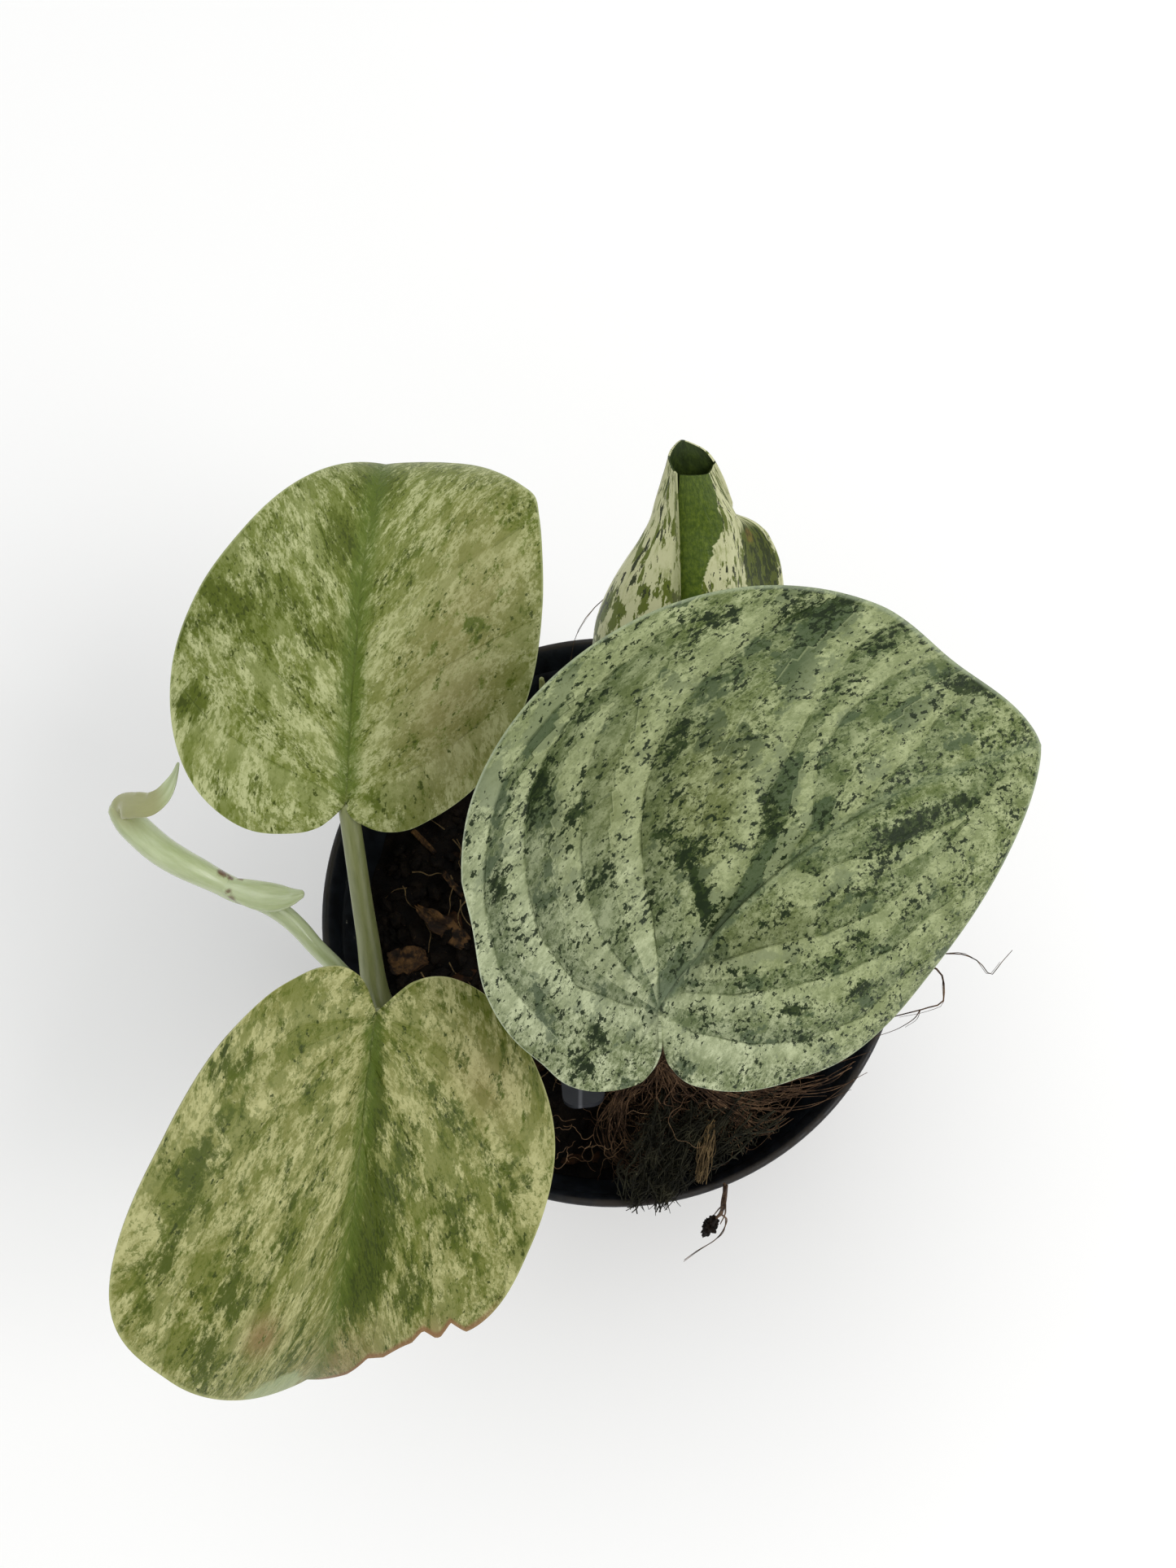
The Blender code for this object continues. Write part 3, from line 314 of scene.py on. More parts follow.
# Soil
# Dark moist potting mix that fills the pot to about 20 mm below the rim: a lumpy top of coir and peat with
# loose crumbs of mix and bark lying on it.
SOIL_LEVEL = 0.076
SOIL_LUMP = 0.0016
SOIL_CLOD = 0.0011
SOIL_GRID = 150
SOIL_GAP = 0.0003
SOIL_FLOOR = POT_WALL + SOIL_GAP
SOIL_FOOT_GAP = 0.0016
CRUMB_SEED = 5
CRUMB_GAP = 0.0022
CRUMBS = 2200
BARK_CRUMBS = 110


def wall_inside(height):
    """The pot's inner radius at a height below the collar."""
    foot = POT_FOOT_RADIUS - POT_WALL
    top = WALL_TOP - POT_WALL
    return foot + (top - foot) * (height - INSIDE_FOOT) / (INSIDE_TOP - INSIDE_FOOT)


def soil_height(x, y):
    """The soil's top: broad lumps as in the solid, with small clods on them."""
    coarse = math.sin(210 * x + 1.1) * math.cos(190 * y - 0.4)
    fine = math.sin(460 * x - 300 * y) + math.cos(330 * x + 420 * y + 0.7)
    clods = noise.turbulence(Vector((x, y, 0.0)) * 260, 4, False)
    return SOIL_LEVEL + SOIL_LUMP * (0.6 * coarse + 0.35 * fine) + SOIL_CLOD * (clods - 0.9)


soil_radius = wall_inside(SOIL_LEVEL) - SOIL_GAP
soil = primitive(
    bpy.ops.mesh.primitive_grid_add, "potting_mix",
    x_subdivisions=SOIL_GRID, y_subdivisions=SOIL_GRID, size=2.0,
)
for vertex in soil.data.vertices:
    x, y, _ = vertex.co
    x, y = x * math.sqrt(1 - y * y / 2), y * math.sqrt(1 - x * x / 2)
    x, y = x * soil_radius, y * soil_radius
    vertex.co = (x, y, soil_height(x, y))
mesh_edit()
bpy.ops.mesh.region_to_loop()
bpy.ops.mesh.extrude_edges_move(TRANSFORM_OT_translate={"value": (0, 0, SOIL_FLOOR - SOIL_LEVEL)})
foot_size = (wall_inside(SOIL_FLOOR) - SOIL_FOOT_GAP) / soil_radius
bpy.ops.transform.resize(value=(foot_size, foot_size, 0.0), center_override=(0, 0, SOIL_FLOOR))
closed_below()


def earth(name, dark, light, speck):
    """Moist earth: dark clods, lighter dry spots and a few pale grains."""
    made, tree, shader, place = surface(name, specular_ior_level=0.15)
    clods = grain(tree, place, 240.0, 8.0, 0.75)
    dry = between(tree, grain(tree, place, 900.0, 4.0, 0.7), 0.50, 0.68)
    specks = between(tree, grain(tree, place, 1600.0, 2.0, 0.6), 0.70, 0.74)
    tint = mixed(tree, between(tree, clods, 0.40, 0.68), dark, light)
    tint = mixed(tree, dry, tint, light, 0.5)
    tint = mixed(tree, specks, tint, speck)
    tree.links.new(maths(tree, "MULTIPLY_ADD", dry, 0.35, 0.55), shader.inputs["Roughness"])
    dressed(tree, shader, tint, clods, 0.0012)
    return made


# the mix's own dark moist colour, darkened further to near black as painted shade
soil_earth = earth("soil_earth", rgb(6, 4, 3), rgb(28, 20, 13), rgb(74, 58, 40))
finished(soil, soil_earth, 60, "soil", "soil")


def over_soil(draw):
    """A place on the soil, clear of the wall."""
    reach = (soil_radius - CRUMB_GAP) * math.sqrt(draw.random())
    angle = draw.uniform(0, 2 * math.pi)
    return reach * math.cos(angle), reach * math.sin(angle)


def meshed(name, points, faces):
    """A new piece from its corners and faces."""
    mesh = bpy.data.meshes.new(name)
    mesh.from_pydata(points, [], faces)
    piece = bpy.data.objects.new(name, mesh)
    bpy.context.scene.collection.objects.link(piece)
    return piece


def scattered(name, count, seed, size, flat):
    """Many small angular crumbs in one mesh, each turned and stretched its own way."""
    crumb = primitive(bpy.ops.mesh.primitive_ico_sphere_add, "crumb", subdivisions=1, radius=1.0)
    corners = np.array([vertex.co for vertex in crumb.data.vertices])
    sides = [tuple(side.vertices) for side in crumb.data.polygons]
    bpy.data.objects.remove(crumb, do_unlink=True)
    draw = random.Random(seed)
    points = []
    faces = []
    for _ in range(count):
        x, y = over_soil(draw)
        big = size[0] + (size[1] - size[0]) * draw.random() ** 3
        shape = np.array([draw.uniform(0.7, 1.5), draw.uniform(0.5, 1.0), draw.uniform(*flat)])
        rough = 1 + np.array([draw.uniform(-0.25, 0.25) for _ in range(len(corners) * 3)]).reshape(-1, 3)
        turn = Matrix.Rotation(draw.uniform(0, 6.28), 3, "Z")
        turn = turn @ Matrix.Rotation(draw.uniform(-0.5, 0.5), 3, "X")
        body = (corners * rough * shape * big) @ np.array(turn).T
        start = len(points)
        points.extend((body + (x, y, soil_height(x, y) + big * 0.2)).tolist())
        faces.extend([tuple(start + corner for corner in side) for side in sides])
    return meshed(name, points, faces)


crumbs = scattered("soil_crumbs", CRUMBS, CRUMB_SEED, (0.0004, 0.0019), (0.4, 0.9))
crumb_earth = earth("crumb_earth", rgb(8, 6, 4), rgb(34, 25, 17), rgb(90, 70, 48))
finished(crumbs, crumb_earth, 20, "soil")
bark_crumbs = scattered("bark_crumbs", BARK_CRUMBS, CRUMB_SEED + 1, (0.0006, 0.0026), (0.25, 0.6))
crumb_bark = earth("crumb_bark", rgb(26, 16, 9), rgb(74, 46, 25), rgb(112, 84, 54))
finished(bark_crumbs, crumb_bark, 20, "bark")

# Bark chips
# Splinters of composted pine bark half sunk in the mix: flat, torn along the grain, orange-brown where they
# are freshly split.
CHIPS = (
    # node, length, width, depth, place, turn, tilt, how pointed
    ("bark_chip_1", (0.0140, 0.0046, 0.0024), (-0.0372, -0.0002), 143, -6, 0.85),
    ("bark_chip_2", (0.0074, 0.0013, 0.0013), (-0.0415, 0.0185), -46, -8, 0.3),
    ("bark_chip_3", (0.0080, 0.0014, 0.0014), (-0.0345, 0.0085), -50, 5, 0.5),
    ("bark_chip_4", (0.0080, 0.0056, 0.0032), (-0.0440, -0.0080), 15, -6, 0.4),
)
CHIP_RISE = 0.30
CHIP_CUTS = 11
chip_bark, tree, shader, place = surface("chip_bark", specular_ior_level=0.3, roughness=0.8)
fibres = grain(tree, stretched(tree, place, (420, 420, 900), (0, 0, 0.7)), 1.0, 6.0, 0.75, 0.6)
worn_faces = grain(tree, place, 320.0, 4.0)
tint = mixed(tree, between(tree, fibres, 0.38, 0.66), rgb(44, 28, 16), rgb(116, 84, 48))
tint = mixed(tree, between(tree, worn_faces, 0.48, 0.60), tint, rgb(30, 20, 13))
dressed(tree, shader, tint, fibres, 0.0006)
for node_name, size, (x, y), turn, tilt, point in CHIPS:
    spot = (x, y, soil_height(x, y) + size[2] * CHIP_RISE)
    chip = primitive(bpy.ops.mesh.primitive_cube_add, node_name + "_wood", size=1.0, location=spot)
    chip.scale = size
    chip.rotation_euler = (0, math.radians(tilt), math.radians(turn))
    mesh_edit()
    bpy.ops.mesh.subdivide(number_cuts=CHIP_CUTS)
    bpy.ops.mesh.vertices_smooth(factor=0.5, repeat=1)
    bpy.ops.object.mode_set(mode="OBJECT")
    for vertex in chip.data.vertices:
        along = vertex.co.x * 2
        taper = 1 - point * max(0.0, along) ** 1.5 - 0.3 * point * max(0.0, -along) ** 3
        ragged = noise.noise(Vector((along * 2.0, vertex.co.y * 9, vertex.co.z * 9 + turn)))
        torn = noise.noise(Vector((along * 3.5, turn, 0.0)))
        vertex.co.y = (vertex.co.y + 0.16 * torn) * taper
        vertex.co.z = vertex.co.z * taper + 0.16 * ragged + 0.10 * along**2
        vertex.co.x *= 1 + 0.16 * noise.noise(Vector((vertex.co.y * 14, turn, 0)))
    finished(chip, chip_bark, 35, "bark", node_name)

# Left cutting
# A short rooted stem with two leaf stalks: round, firm and pale green, glossy on the side toward the light
# and a little greener along their edges.
LEFT_CUTTING = (
    # the stem and both stalks, each as places in millimetres and the radius there
    ((-38.5, -21, 54, 2.8), (-40.5, -21.8, 76, 3.2), (-43.3, -23, 88, 3.4), (-45.2, -23.8, 98, 2.4)),
    ((-44.1, -23.4, 92, 2.6), (-46.1, -21.2, 104, 2.6), (-47, -10.7, 117, 2.1), (-47.8, 6.7, 140, 1.8)),
    ((-43.5, -23.2, 89, 2.4), (-44.8, -27, 100, 2.3), (-43.2, -29.2, 118, 2), (-41.8, -29.6, 135.8, 1.7)),
)
THINNEST = 0.00004
CAP_RINGS = ((1.0, 0.02), (0.90, 0.44), (0.62, 0.78))


def smooth(knots, values, at):
    """A smooth curve through values at the knots, read at the places in at."""
    knots = np.asarray(knots, float)
    values = np.asarray(values, float)
    slopes = np.gradient(values, knots, axis=0)
    first = np.clip(np.searchsorted(knots, at, side="right") - 1, 0, len(knots) - 2)
    step = knots[first + 1] - knots[first]
    part = (at - knots[first]) / step
    if values.ndim > 1:
        step = step[:, None]
        part = part[:, None]
    return (
        (1 + 2 * part) * (1 - part) ** 2 * values[first]
        + part * (1 - part) ** 2 * step * slopes[first]
        + part**2 * (3 - 2 * part) * values[first + 1]
        + part**2 * (part - 1) * step * slopes[first + 1]
    )


def rings_along(path, radii, flat, samples, sides, rounded):
    """The rings of a tapered tube, from pole to pole, and each ring's distance along it."""
    path = np.array([tuple(point) for point in path], float)
    run = np.concatenate([[0], np.cumsum(np.linalg.norm(np.diff(path, axis=0), axis=1))])
    at = np.linspace(0, run[-1], samples)
    middle = smooth(run, path, at)
    size = np.maximum(smooth(run, radii, at), THINNEST)
    forward = np.gradient(middle, axis=0)
    forward /= np.linalg.norm(forward, axis=1, keepdims=True)
    if rounded:
        outs, parts = np.array(CAP_RINGS).T
        ends = middle[0] - forward[0] * size[0] * outs[:, None]
        tips = middle[-1] + forward[-1] * size[-1] * outs[::-1, None]
        before, after = at[0] - size[0] * outs, at[-1] + size[-1] * outs[::-1]
        middle = np.concatenate([ends, middle, tips])
        size = np.concatenate([size[0] * parts, size, size[-1] * parts[::-1]])
        forward = np.concatenate([[forward[0]] * 3, forward, [forward[-1]] * 3])
        at = np.concatenate([before, at, after])
    normal = np.empty_like(middle)
    guide = np.array([0.0, 0.0, 1.0]) if flat < 1 or abs(forward[0][2]) < 0.8 else np.array([1.0, 0.0, 0.0])
    for ring, ahead in enumerate(forward):
        if flat < 1:
            guide = np.array([0.0, 0.0, 1.0])
        guide = guide - ahead * guide.dot(ahead)
        guide /= np.linalg.norm(guide)
        normal[ring] = guide
    beside = np.cross(normal, forward)
    angle = 2 * np.pi * np.arange(sides) / sides
    around = beside[:, None] * np.cos(angle)[:, None] + normal[:, None] * (flat * np.sin(angle))[:, None]
    return middle[:, None] + around * size[:, None, None], at


def grown(name, strands, sides=32, samples=48, rounded=True):
    """Stems or roots as one mesh: each strand is a path, its radii and how flat it is.

    Its UV map runs round each strand in turns, and along it in centimetres."""
    points, faces, marks = [], [], []
    for path, radii, flat in strands:
        rings, at = rings_along(path, radii, flat, samples, sides, rounded)
        at = at * 100
        first = len(points)
        points.extend(rings.reshape(-1, 3).tolist())
        for ring in range(len(rings) - 1):
            for side in range(sides):
                low, high = first + ring * sides, first + (ring + 1) * sides
                after = (side + 1) % sides
                faces.append((low + side, low + after, high + after, high + side))
                left, right, near, far = side / sides, (side + 1) / sides, at[ring], at[ring + 1]
                marks.extend([(left, near), (right, near), (right, far), (left, far)])
        last = first + (len(rings) - 1) * sides
        faces.append(tuple(first + side for side in reversed(range(sides))))
        faces.append(tuple(last + side for side in range(sides)))
        marks.extend([(0.5, at[0])] * sides + [(0.5, at[-1])] * sides)
    piece = meshed(name, points, faces)
    layer = piece.data.uv_layers.new(name="length")
    layer.data.foreach_set("uv", np.array(marks, np.float32).ravel())
    return piece


def stalk(rows, flat=1.0):
    """A strand for grown, from places and radii in millimetres, and how flat it is."""
    rows = np.array(rows) / 1000
    return rows[:, :3], rows[:, 3], flat


def uv(tree, name):
    return shade(tree, "UVMap", uv_map=name).outputs[0]


def stalk_skin(name, pale, green, shaded, shade_height):
    """The smooth skin of a stalk: pale, with soft long green streaks, and painted shade below a height."""
    made, tree, shader, place = surface(
        name, roughness=0.34, coat_weight=0.12, coat_roughness=0.25, subsurface_weight=0.10
    )
    shader.inputs["Subsurface Radius"].default_value = (0.002, 0.003, 0.001)
    streaks = grain(tree, stretched(tree, uv(tree, "length"), (9.0, 0.9, 1.0)), 1.0, 4.0, 0.6)
    blotches = grain(tree, place, 110.0, 3.0)
    tint = mixed(tree, between(tree, streaks, 0.30, 0.75), pale, green)
    tint = mixed(tree, between(tree, blotches, 0.50, 0.75), tint, pale, 0.5)
    height = apart(tree, place)["Z"]
    # painted shade: below the given height the stalk is darkened toward its shaded colour
    tint = mixed(tree, between(tree, height, shade_height, shade_height - 0.02), tint, shaded, 0.7)
    dressed(tree, shader, tint, streaks, 0.00012)
    return made, tree, shader, place, height, tint


stalk_green = stalk_skin("stalk_green", rgb(132, 137, 90), rgb(108, 115, 66), rgb(70, 77, 54), 0.112)[0]
stem_left = grown("left_stem", [stalk(rows) for rows in LEFT_CUTTING])
finished(stem_left, stalk_green, 60, "stalk_green", "stem_left")

# Leaf blades
# Thick satin blades, heart-shaped, that hang from the tips of their stalks: creased along the side veins that
# sweep from the joint and the midrib, mottled along those veins, and closed by a thin pale margin.
BLADE_SPOKES = 400
BLADE_RINGS = 84
BLADE_THICKNESS = 0.0005
SPINE_STEP = 0.001
SPINE_BACK = 0.030
CREASE_REACH = 12.0
CREASE_INNER = 8.0
CREASE_OUTER = 3.2
RIB_WIDTH = 0.0030
RIB_TAPER = 0.0018
LEAF_BACK_LEFT = dict(
    joint=(-48, 7.6, 142), heading=86, pitch=26, roll=4, nod=93, hook=3, back=13, sickle=-5, twist=-8,
    fold=3, curve_left=720, curve_right=660, length=0.0725, wave=0.0008, waves=5, nicks=(), quilt=0.00035,
    along_veins=True, groove=0.0006, slant=(0.6, 1.3), arch=0.002,
    # bearing round the joint in degrees, and the edge's distance from the joint in millimetres
    left=(
        (0, 72.5), (12, 62), (25, 53), (40, 46.5), (58, 40), (78, 32), (98, 23.3), (111, 17.7), (121, 12.6),
        (132, 8.4), (138, 6), (142, 3), (143, 1.5),
    ),
    right=(
        (0, 72.5), (12, 72), (18, 70), (22, 68.7), (25, 67.5), (28, 63.5), (32, 58.4), (40, 50), (58, 36),
        (78, 24.4), (98, 15.6), (112, 12), (127, 8.5), (142, 5.2), (155, 2.6), (160, 1.6),
    ),
    # side veins as strength and places in millimetres: ahead of the joint, and aside to the left
    creases=(
        (0.7, ((6.6, 0), (12, 4.1), (18.7, 10.3), (25, 18.2), (28.7, 26.5), (31, 34))),
        (0.8, ((18, 0), (24.9, 4.3), (31.5, 9.9), (39.8, 16.8), (44.4, 20.6), (50, 26))),
        (0.6, ((31, 0), (37.8, 3.4), (45, 7.2), (53.4, 10.7))),
        (0.6, ((0, 0), (3.2, 6.6), (6.9, 15.5), (11.7, 25), (16.8, 31.1))),
        (0.8, ((6.6, 0), (15.7, -5.7), (23.6, -13.7), (30.4, -23.1), (36, -31.5))),
        (0.8, ((23.8, 0), (32.9, -5.8), (41, -13.5), (48.6, -22.7), (55.5, -28.7))),
        (0.6, ((0, 0), (4.1, -7.7), (9.1, -16.1), (17, -24.2), (25, -29.5))),
    ),
    # stains as ahead, aside, half-length, half-width, turn and strength: dark green, grey green, warm
    green=(
        (33, 24, 9, 5, 60, 0.8), (59, 0, 9, 4, 0, 1), (46, 4, 8, 2.5, 25, 0.9), (33, -20, 2.5, 2, 0, 1.1),
        (54, -27, 7, 3, 40, 0.5), (15, 31, 7, 3, 80, 0.7), (34, 12, 12, 4, 50, 0.5),
        (44, -8, 10, 2, -40, 0.5), (0, -6, 4, 2, 60, 0.6), (20, 0, 26, 1.4, 0, 0.8),
        (28, 32, 8, 2, 110, 0.5), (30, 3, 14, 3, 10, 0.35),
    ),
    grey=((35, 22, 10, 6, 60, 0.6), (25, -26, 3, 8, 0, 0.4), (56, 2, 10, 8, 0, 0.5)),
    # the warm stains on the right half are the blade's tan tone together with painted shadow of the right
    # leaf
    warm=((18, -17, 20, 12, 0, 1), (46, -22, 16, 11, 0, 0.6)),
)
LEAF_RIGHT = dict(
    joint=(6.1, -32.1, 158), heading=57, pitch=27, roll=1.5, nod=56, hook=1.5, back=34, sickle=-55,
    twist=-4, fold=4, curve_left=290, curve_right=1770, length=0.084, wave=0.0007, waves=7, nicks=(),
    quilt=0.0022, along_veins=False, groove=0.0016, slant=(0.8, 1.8), arch=0.018,
    left=(
        (0, 84), (12, 71), (25, 67.5), (40, 62.5), (58, 55.2), (78, 45.7), (98, 33.7), (118, 28.4),
        (138, 24.4), (148, 22), (160, 20.2), (169, 18.3), (179, 16.2), (188, 14.4), (196, 12.7),
        (203, 10.4), (209, 8), (214, 5.5), (217, 2),
    ),
    right=(
        (0, 84), (12, 73.5), (25, 64.5), (40, 54), (58, 43.4), (78, 33.6), (94, 24.7), (108, 18.4),
        (118, 15), (131, 12), (137, 10), (141.5, 7.6), (143, 5), (144, 2),
    ),
    creases=(
        (0.5, ((43, 0), (46.1, 1.2), (53.1, 3.3), (59, 5.8), (64.4, 9.3), (69.6, 11.2))),
        (0.7, (
            (30, 0), (33.1, 1), (38.3, 3), (41.9, 7.8), (44.7, 11.5), (50.3, 14.7), (57.8, 17.3), (66, 18),
        )),
        (0.9, (
            (14, 0), (16.3, 0.8), (22.6, 2.2), (28.1, 4.8), (33.2, 8.5), (36.3, 11), (42.6, 14.9),
            (50.6, 20.5), (57, 24), (63, 26),
        )),
        (1.1, (
            (0, 0), (5.5, 4), (10.6, 8.9), (15.2, 15.3), (19, 19.8), (22.7, 23.4), (25.8, 25.8),
            (31.9, 29.8), (37.9, 31.4), (46.9, 32.7), (53.2, 32.6),
        )),
        (0.4, (
            (0, 0), (1.7, 3.9), (4.2, 13.4), (8, 19.7), (11.6, 24.4), (15.6, 28.3), (19.4, 32.3),
            (24.5, 35.5),
        )),
        (1.2, (
            (0, 0), (-2.8, 5.8), (-4.7, 13.4), (-1, 22.3), (4.7, 29.8), (9.3, 34.5), (13.1, 37.3),
            (17.9, 39.4), (21.6, 40.4), (27.4, 41.5), (32.5, 41.5),
        )),
        (0.6, (
            (-12, 17), (-11.2, 20), (-8.7, 25.9), (-2.9, 31.7), (2.7, 36.1), (7.7, 39.7), (12.8, 42),
            (17.6, 42.8), (23, 43.1),
        )),
        (0.5, ((31, 0), (33.4, -3.6), (42, -5.3), (52.2, -7.6), (62.9, -7.3), (71.6, -4.1))),
        (0.6, ((8, 0), (11.8, -3.2), (19.3, -7.1), (28, -12), (39.3, -14.6), (49.3, -13.6), (62.5, -8.6))),
        (0.6, ((2, 0), (4.6, -1.9), (9.1, -8.3), (16.6, -14.6), (26.8, -19.7), (38.6, -22), (50.7, -20.4))),
        (0.5, ((0, 0), (-0.3, -6.3), (2.7, -15.2), (9.1, -23.5), (22, -29.7), (37.3, -28.7))),
    ),
    green=(
        (33, 7, 5, 2.5, 50, 1.2), (50, -5.3, 5, 2.2, -10, 1.5), (18, 5.5, 4.5, 1, 60, 2),
        (21.5, 12, 2, 4.5, 60, 0.9), (21.3, 16.5, 2, 1.6, 0, 1.2), (31, 26.5, 3, 2, 45, 1.2),
        (43, 38, 2.5, 2, 0, 1), (55, 33, 7, 3, -10, 1), (70, 12, 5, 1.6, -20, 1.8),
        (39, -10.6, 3, 1.5, -20, 1), (43, -9, 3, 1.5, -20, 0.8), (27, -24.5, 3.5, 1.6, -20, 1.2),
        (9, -22.8, 3, 1.4, -60, 1.1), (13.4, -17, 3.5, 1.4, -40, 1.3), (60, -4.5, 4.5, 1.6, -5, 1.3),
        (66, -7, 3, 1.3, -10, 0.9), (15.5, 29.5, 2, 1.5, 30, 1.3), (15, 37, 4, 1.6, 30, 1.2),
        (2.3, 32.3, 3.5, 2, 40, 1), (-9, 6, 3, 1.5, 60, 1.2), (-14.6, 5.4, 2.5, 1.2, 70, 1),
        (22, -4.4, 3, 1.3, -20, 0.8), (34, -16, 3, 1.2, -20, 0.9), (12.5, -6, 2.5, 1.2, -30, 0.8),
        (25, 22, 3, 1.5, 45, 0.6), (38, 20, 3, 2, 40, 0.5), (60, 22, 6, 2, 0, 0.5), (8, 20, 3, 2, 70, 0.4),
    ),
    grey=(
        (38, 10, 7, 3.2, 45, 1.6), (47, 24, 9, 2.6, 40, 1.5), (62, 12, 8, 2.4, 20, 1.2),
        (11, 29, 5, 2.6, 60, 1.2), (10, 41, 8, 2, 40, 1.2), (20, 43.5, 7, 2, 20, 1.2),
        (12, 1.6, 14, 2, 3, 1.6), (30, 2.5, 14, 1.6, 8, 1.2), (55, 30, 10, 4, -10, 1),
        (20, -10, 6, 2, -30, 0.8), (34, -10, 6, 2, -20, 0.7), (-8, 12, 5, 3, 90, 0.7),
        (30, 18, 8, 2, 45, 0.6), (24, -26, 8, 2, -30, 0.6),
    ),
    warm=((20, 26, 14, 10, 50, 0.5), (30, 15, 12, 6, 45, 0.4), (20, -6, 12, 4, -20, 0.6)),
)
LEAF_FRONT_LEFT = dict(
    joint=(-41.7, -29.7, 138), heading=266, pitch=-6, roll=-22, nod=75, hook=2, back=15, sickle=2, twist=-8,
    fold=10, curve_left=210, curve_right=180, length=0.0768, wave=0.0009, waves=6,
    nicks=((7, 2.4, 3), (16, 2, 2.4), (21, 2.2, 3.4)), quilt=0.0008, along_veins=True, groove=0.0009,
    slant=(0.7, 2), arch=0.012,
    left=(
        (0, 76.8), (12, 60.5), (25, 60), (40, 50.3), (58, 40.2), (78, 29), (98, 21.9), (112, 17.4),
        (125, 13), (133, 9.6), (137, 7.2), (139, 4), (140, 1.6),
    ),
    right=(
        (0, 76.8), (12, 70), (25, 65), (40, 60), (58, 39.5), (78, 26), (98, 18.3), (103, 16.9), (124, 12.7),
        (145, 8.5), (154, 5.6), (159, 2.6), (160, 1.6),
    ),
    creases=(
        (0.8, ((0, 0), (6.6, 8.9), (15.6, 18.4), (26.3, 25.4), (36.3, 28.5), (46, 29))),
        (0.9, ((7.2, 0), (16.4, 5.7), (28.3, 11.3), (42.7, 15), (56, 17))),
        (0.5, ((0, 0), (2, 8), (8, 17), (15, 24), (22, 29))),
        (0.6, ((20, 0), (34, 4), (50, 7), (64, 8))),
        (0.8, ((0, 0), (9.2, -9.5), (19.8, -18.1), (32.1, -24.7), (44.1, -28.2), (56, -29))),
        (0.9, ((9.9, 0), (20.9, -5.3), (33.9, -10.8), (47.1, -14.3), (60, -16))),
        (0.6, ((0, 0), (2.7, -13), (9.9, -22), (20.1, -28.8), (30.8, -33.8))),
        (0.6, ((22, 0), (36, -4), (52, -7), (66, -8))),
    ),
    green=(
        (27, -28, 6, 3, -30, 0.9), (39, -31, 5, 2, -20, 0.8), (45, -20, 7, 3, -15, 0.8),
        (35, 4, 10, 3.5, 5, 1.2), (46, 3, 9, 3, 0, 1.1), (12, 1.4, 12, 1.6, 5, 1.2),
        (9, -22, 4, 2, -50, 0.7), (19, -25, 5, 2, -40, 0.6), (14, 14, 5, 2, 45, 0.5),
        (22, 22, 5, 2, 40, 0.6), (34, 18, 6, 3, 25, 0.7), (46, 12, 6, 3, 15, 0.8), (31, 26, 5, 2, 30, 0.6),
        (47, -33, 4, 2, 0, 0.5), (36, -12, 10, 2, -20, 0.5), (56, -22, 5, 3, 0, 0.8),
        (25, 8, 10, 2, 25, 0.5), (60, -6, 8, 3, 0, 0.6),
    ),
    grey=((34, 3, 16, 4, 3, 0.8), (20, -24, 14, 4, -35, 0.5), (30, 20, 12, 4, 30, 0.4)),
    warm=((54, -13, 4, 3, 0, 1.4), (57, 18, 4, 3, 0, 1.2), (66, 4, 10, 8, 0, 0.8), (10, 20, 8, 5, 45, 0.5)),
)


def turns(axis, degrees):
    """Rotation matrices about one axis, one for each angle."""
    angle = np.radians(np.asarray(degrees, float))
    cos = np.cos(angle)
    sin = np.sin(angle)
    one = np.ones_like(angle)
    nil = np.zeros_like(angle)
    rows = {
        "x": [[one, nil, nil], [nil, cos, -sin], [nil, sin, cos]],
        "y": [[cos, nil, sin], [nil, one, nil], [-sin, nil, cos]],
        "z": [[cos, -sin, nil], [sin, cos, nil], [nil, nil, one]],
    }[axis]
    return np.moveaxis(np.array(rows), (0, 1), (-2, -1))


def spine(leaf):
    """The midrib: places along it, where each lies, and its frame of forward, left and up."""
    along = np.arange(-SPINE_BACK, leaf["length"] * 1.1, SPINE_STEP)
    ahead = np.clip(along, 0, None) / leaf["length"]
    behind = np.clip(-along, 0, None) / leaf["length"]
    pitch = leaf["nod"] * ahead ** leaf["hook"] - leaf["back"] * behind
    start = turns("z", leaf["heading"]) @ turns("y", -leaf["pitch"]) @ turns("x", leaf["roll"])
    curl = turns("z", leaf["sickle"] * ahead) @ turns("y", pitch)
    frames = start @ curl @ turns("x", leaf["twist"] * ahead)
    forward = frames[:, :, 0]
    steps = (forward[1:] + forward[:-1]) / 2 * SPINE_STEP
    places = np.concatenate([np.zeros((1, 3)), np.cumsum(steps, axis=0)])
    places += np.array(leaf["joint"]) / 1000 - places[round(SPINE_BACK / SPINE_STEP)]
    return along, places, frames


def bent(leaf, side, ahead, aside, lift):
    """Where a point of the flat leaf goes: along the midrib, then sideways along a falling arc.

    A lobe that laps past the midrib's line, as at the notch, goes on straight there."""
    along, places, frames = spine(leaf)
    reading = (ahead - along[0]) / SPINE_STEP
    first = np.clip(np.floor(reading).astype(int), 0, len(along) - 2)
    part = np.clip(reading - first, 0, 1)[..., None]
    place = places[first] * (1 - part) + places[first + 1] * part
    frame = frames[first] * (1 - part[..., None]) + frames[first + 1] * part[..., None]
    rise = math.radians(leaf["fold"])
    curve = np.radians(np.where(side > 0, leaf["curve_left"], leaf["curve_right"]))
    out = np.clip(side * aside, 0, None)
    past = np.clip(side * aside, None, 0)
    sideways = side * ((math.sin(rise) - np.sin(rise - curve * out)) / curve + past * math.cos(rise))
    upward = (np.cos(rise - curve * out) - math.cos(rise)) / curve + past * math.sin(rise) + lift
    return place + frame[..., 1] * sideways[..., None] + frame[..., 2] * upward[..., None]


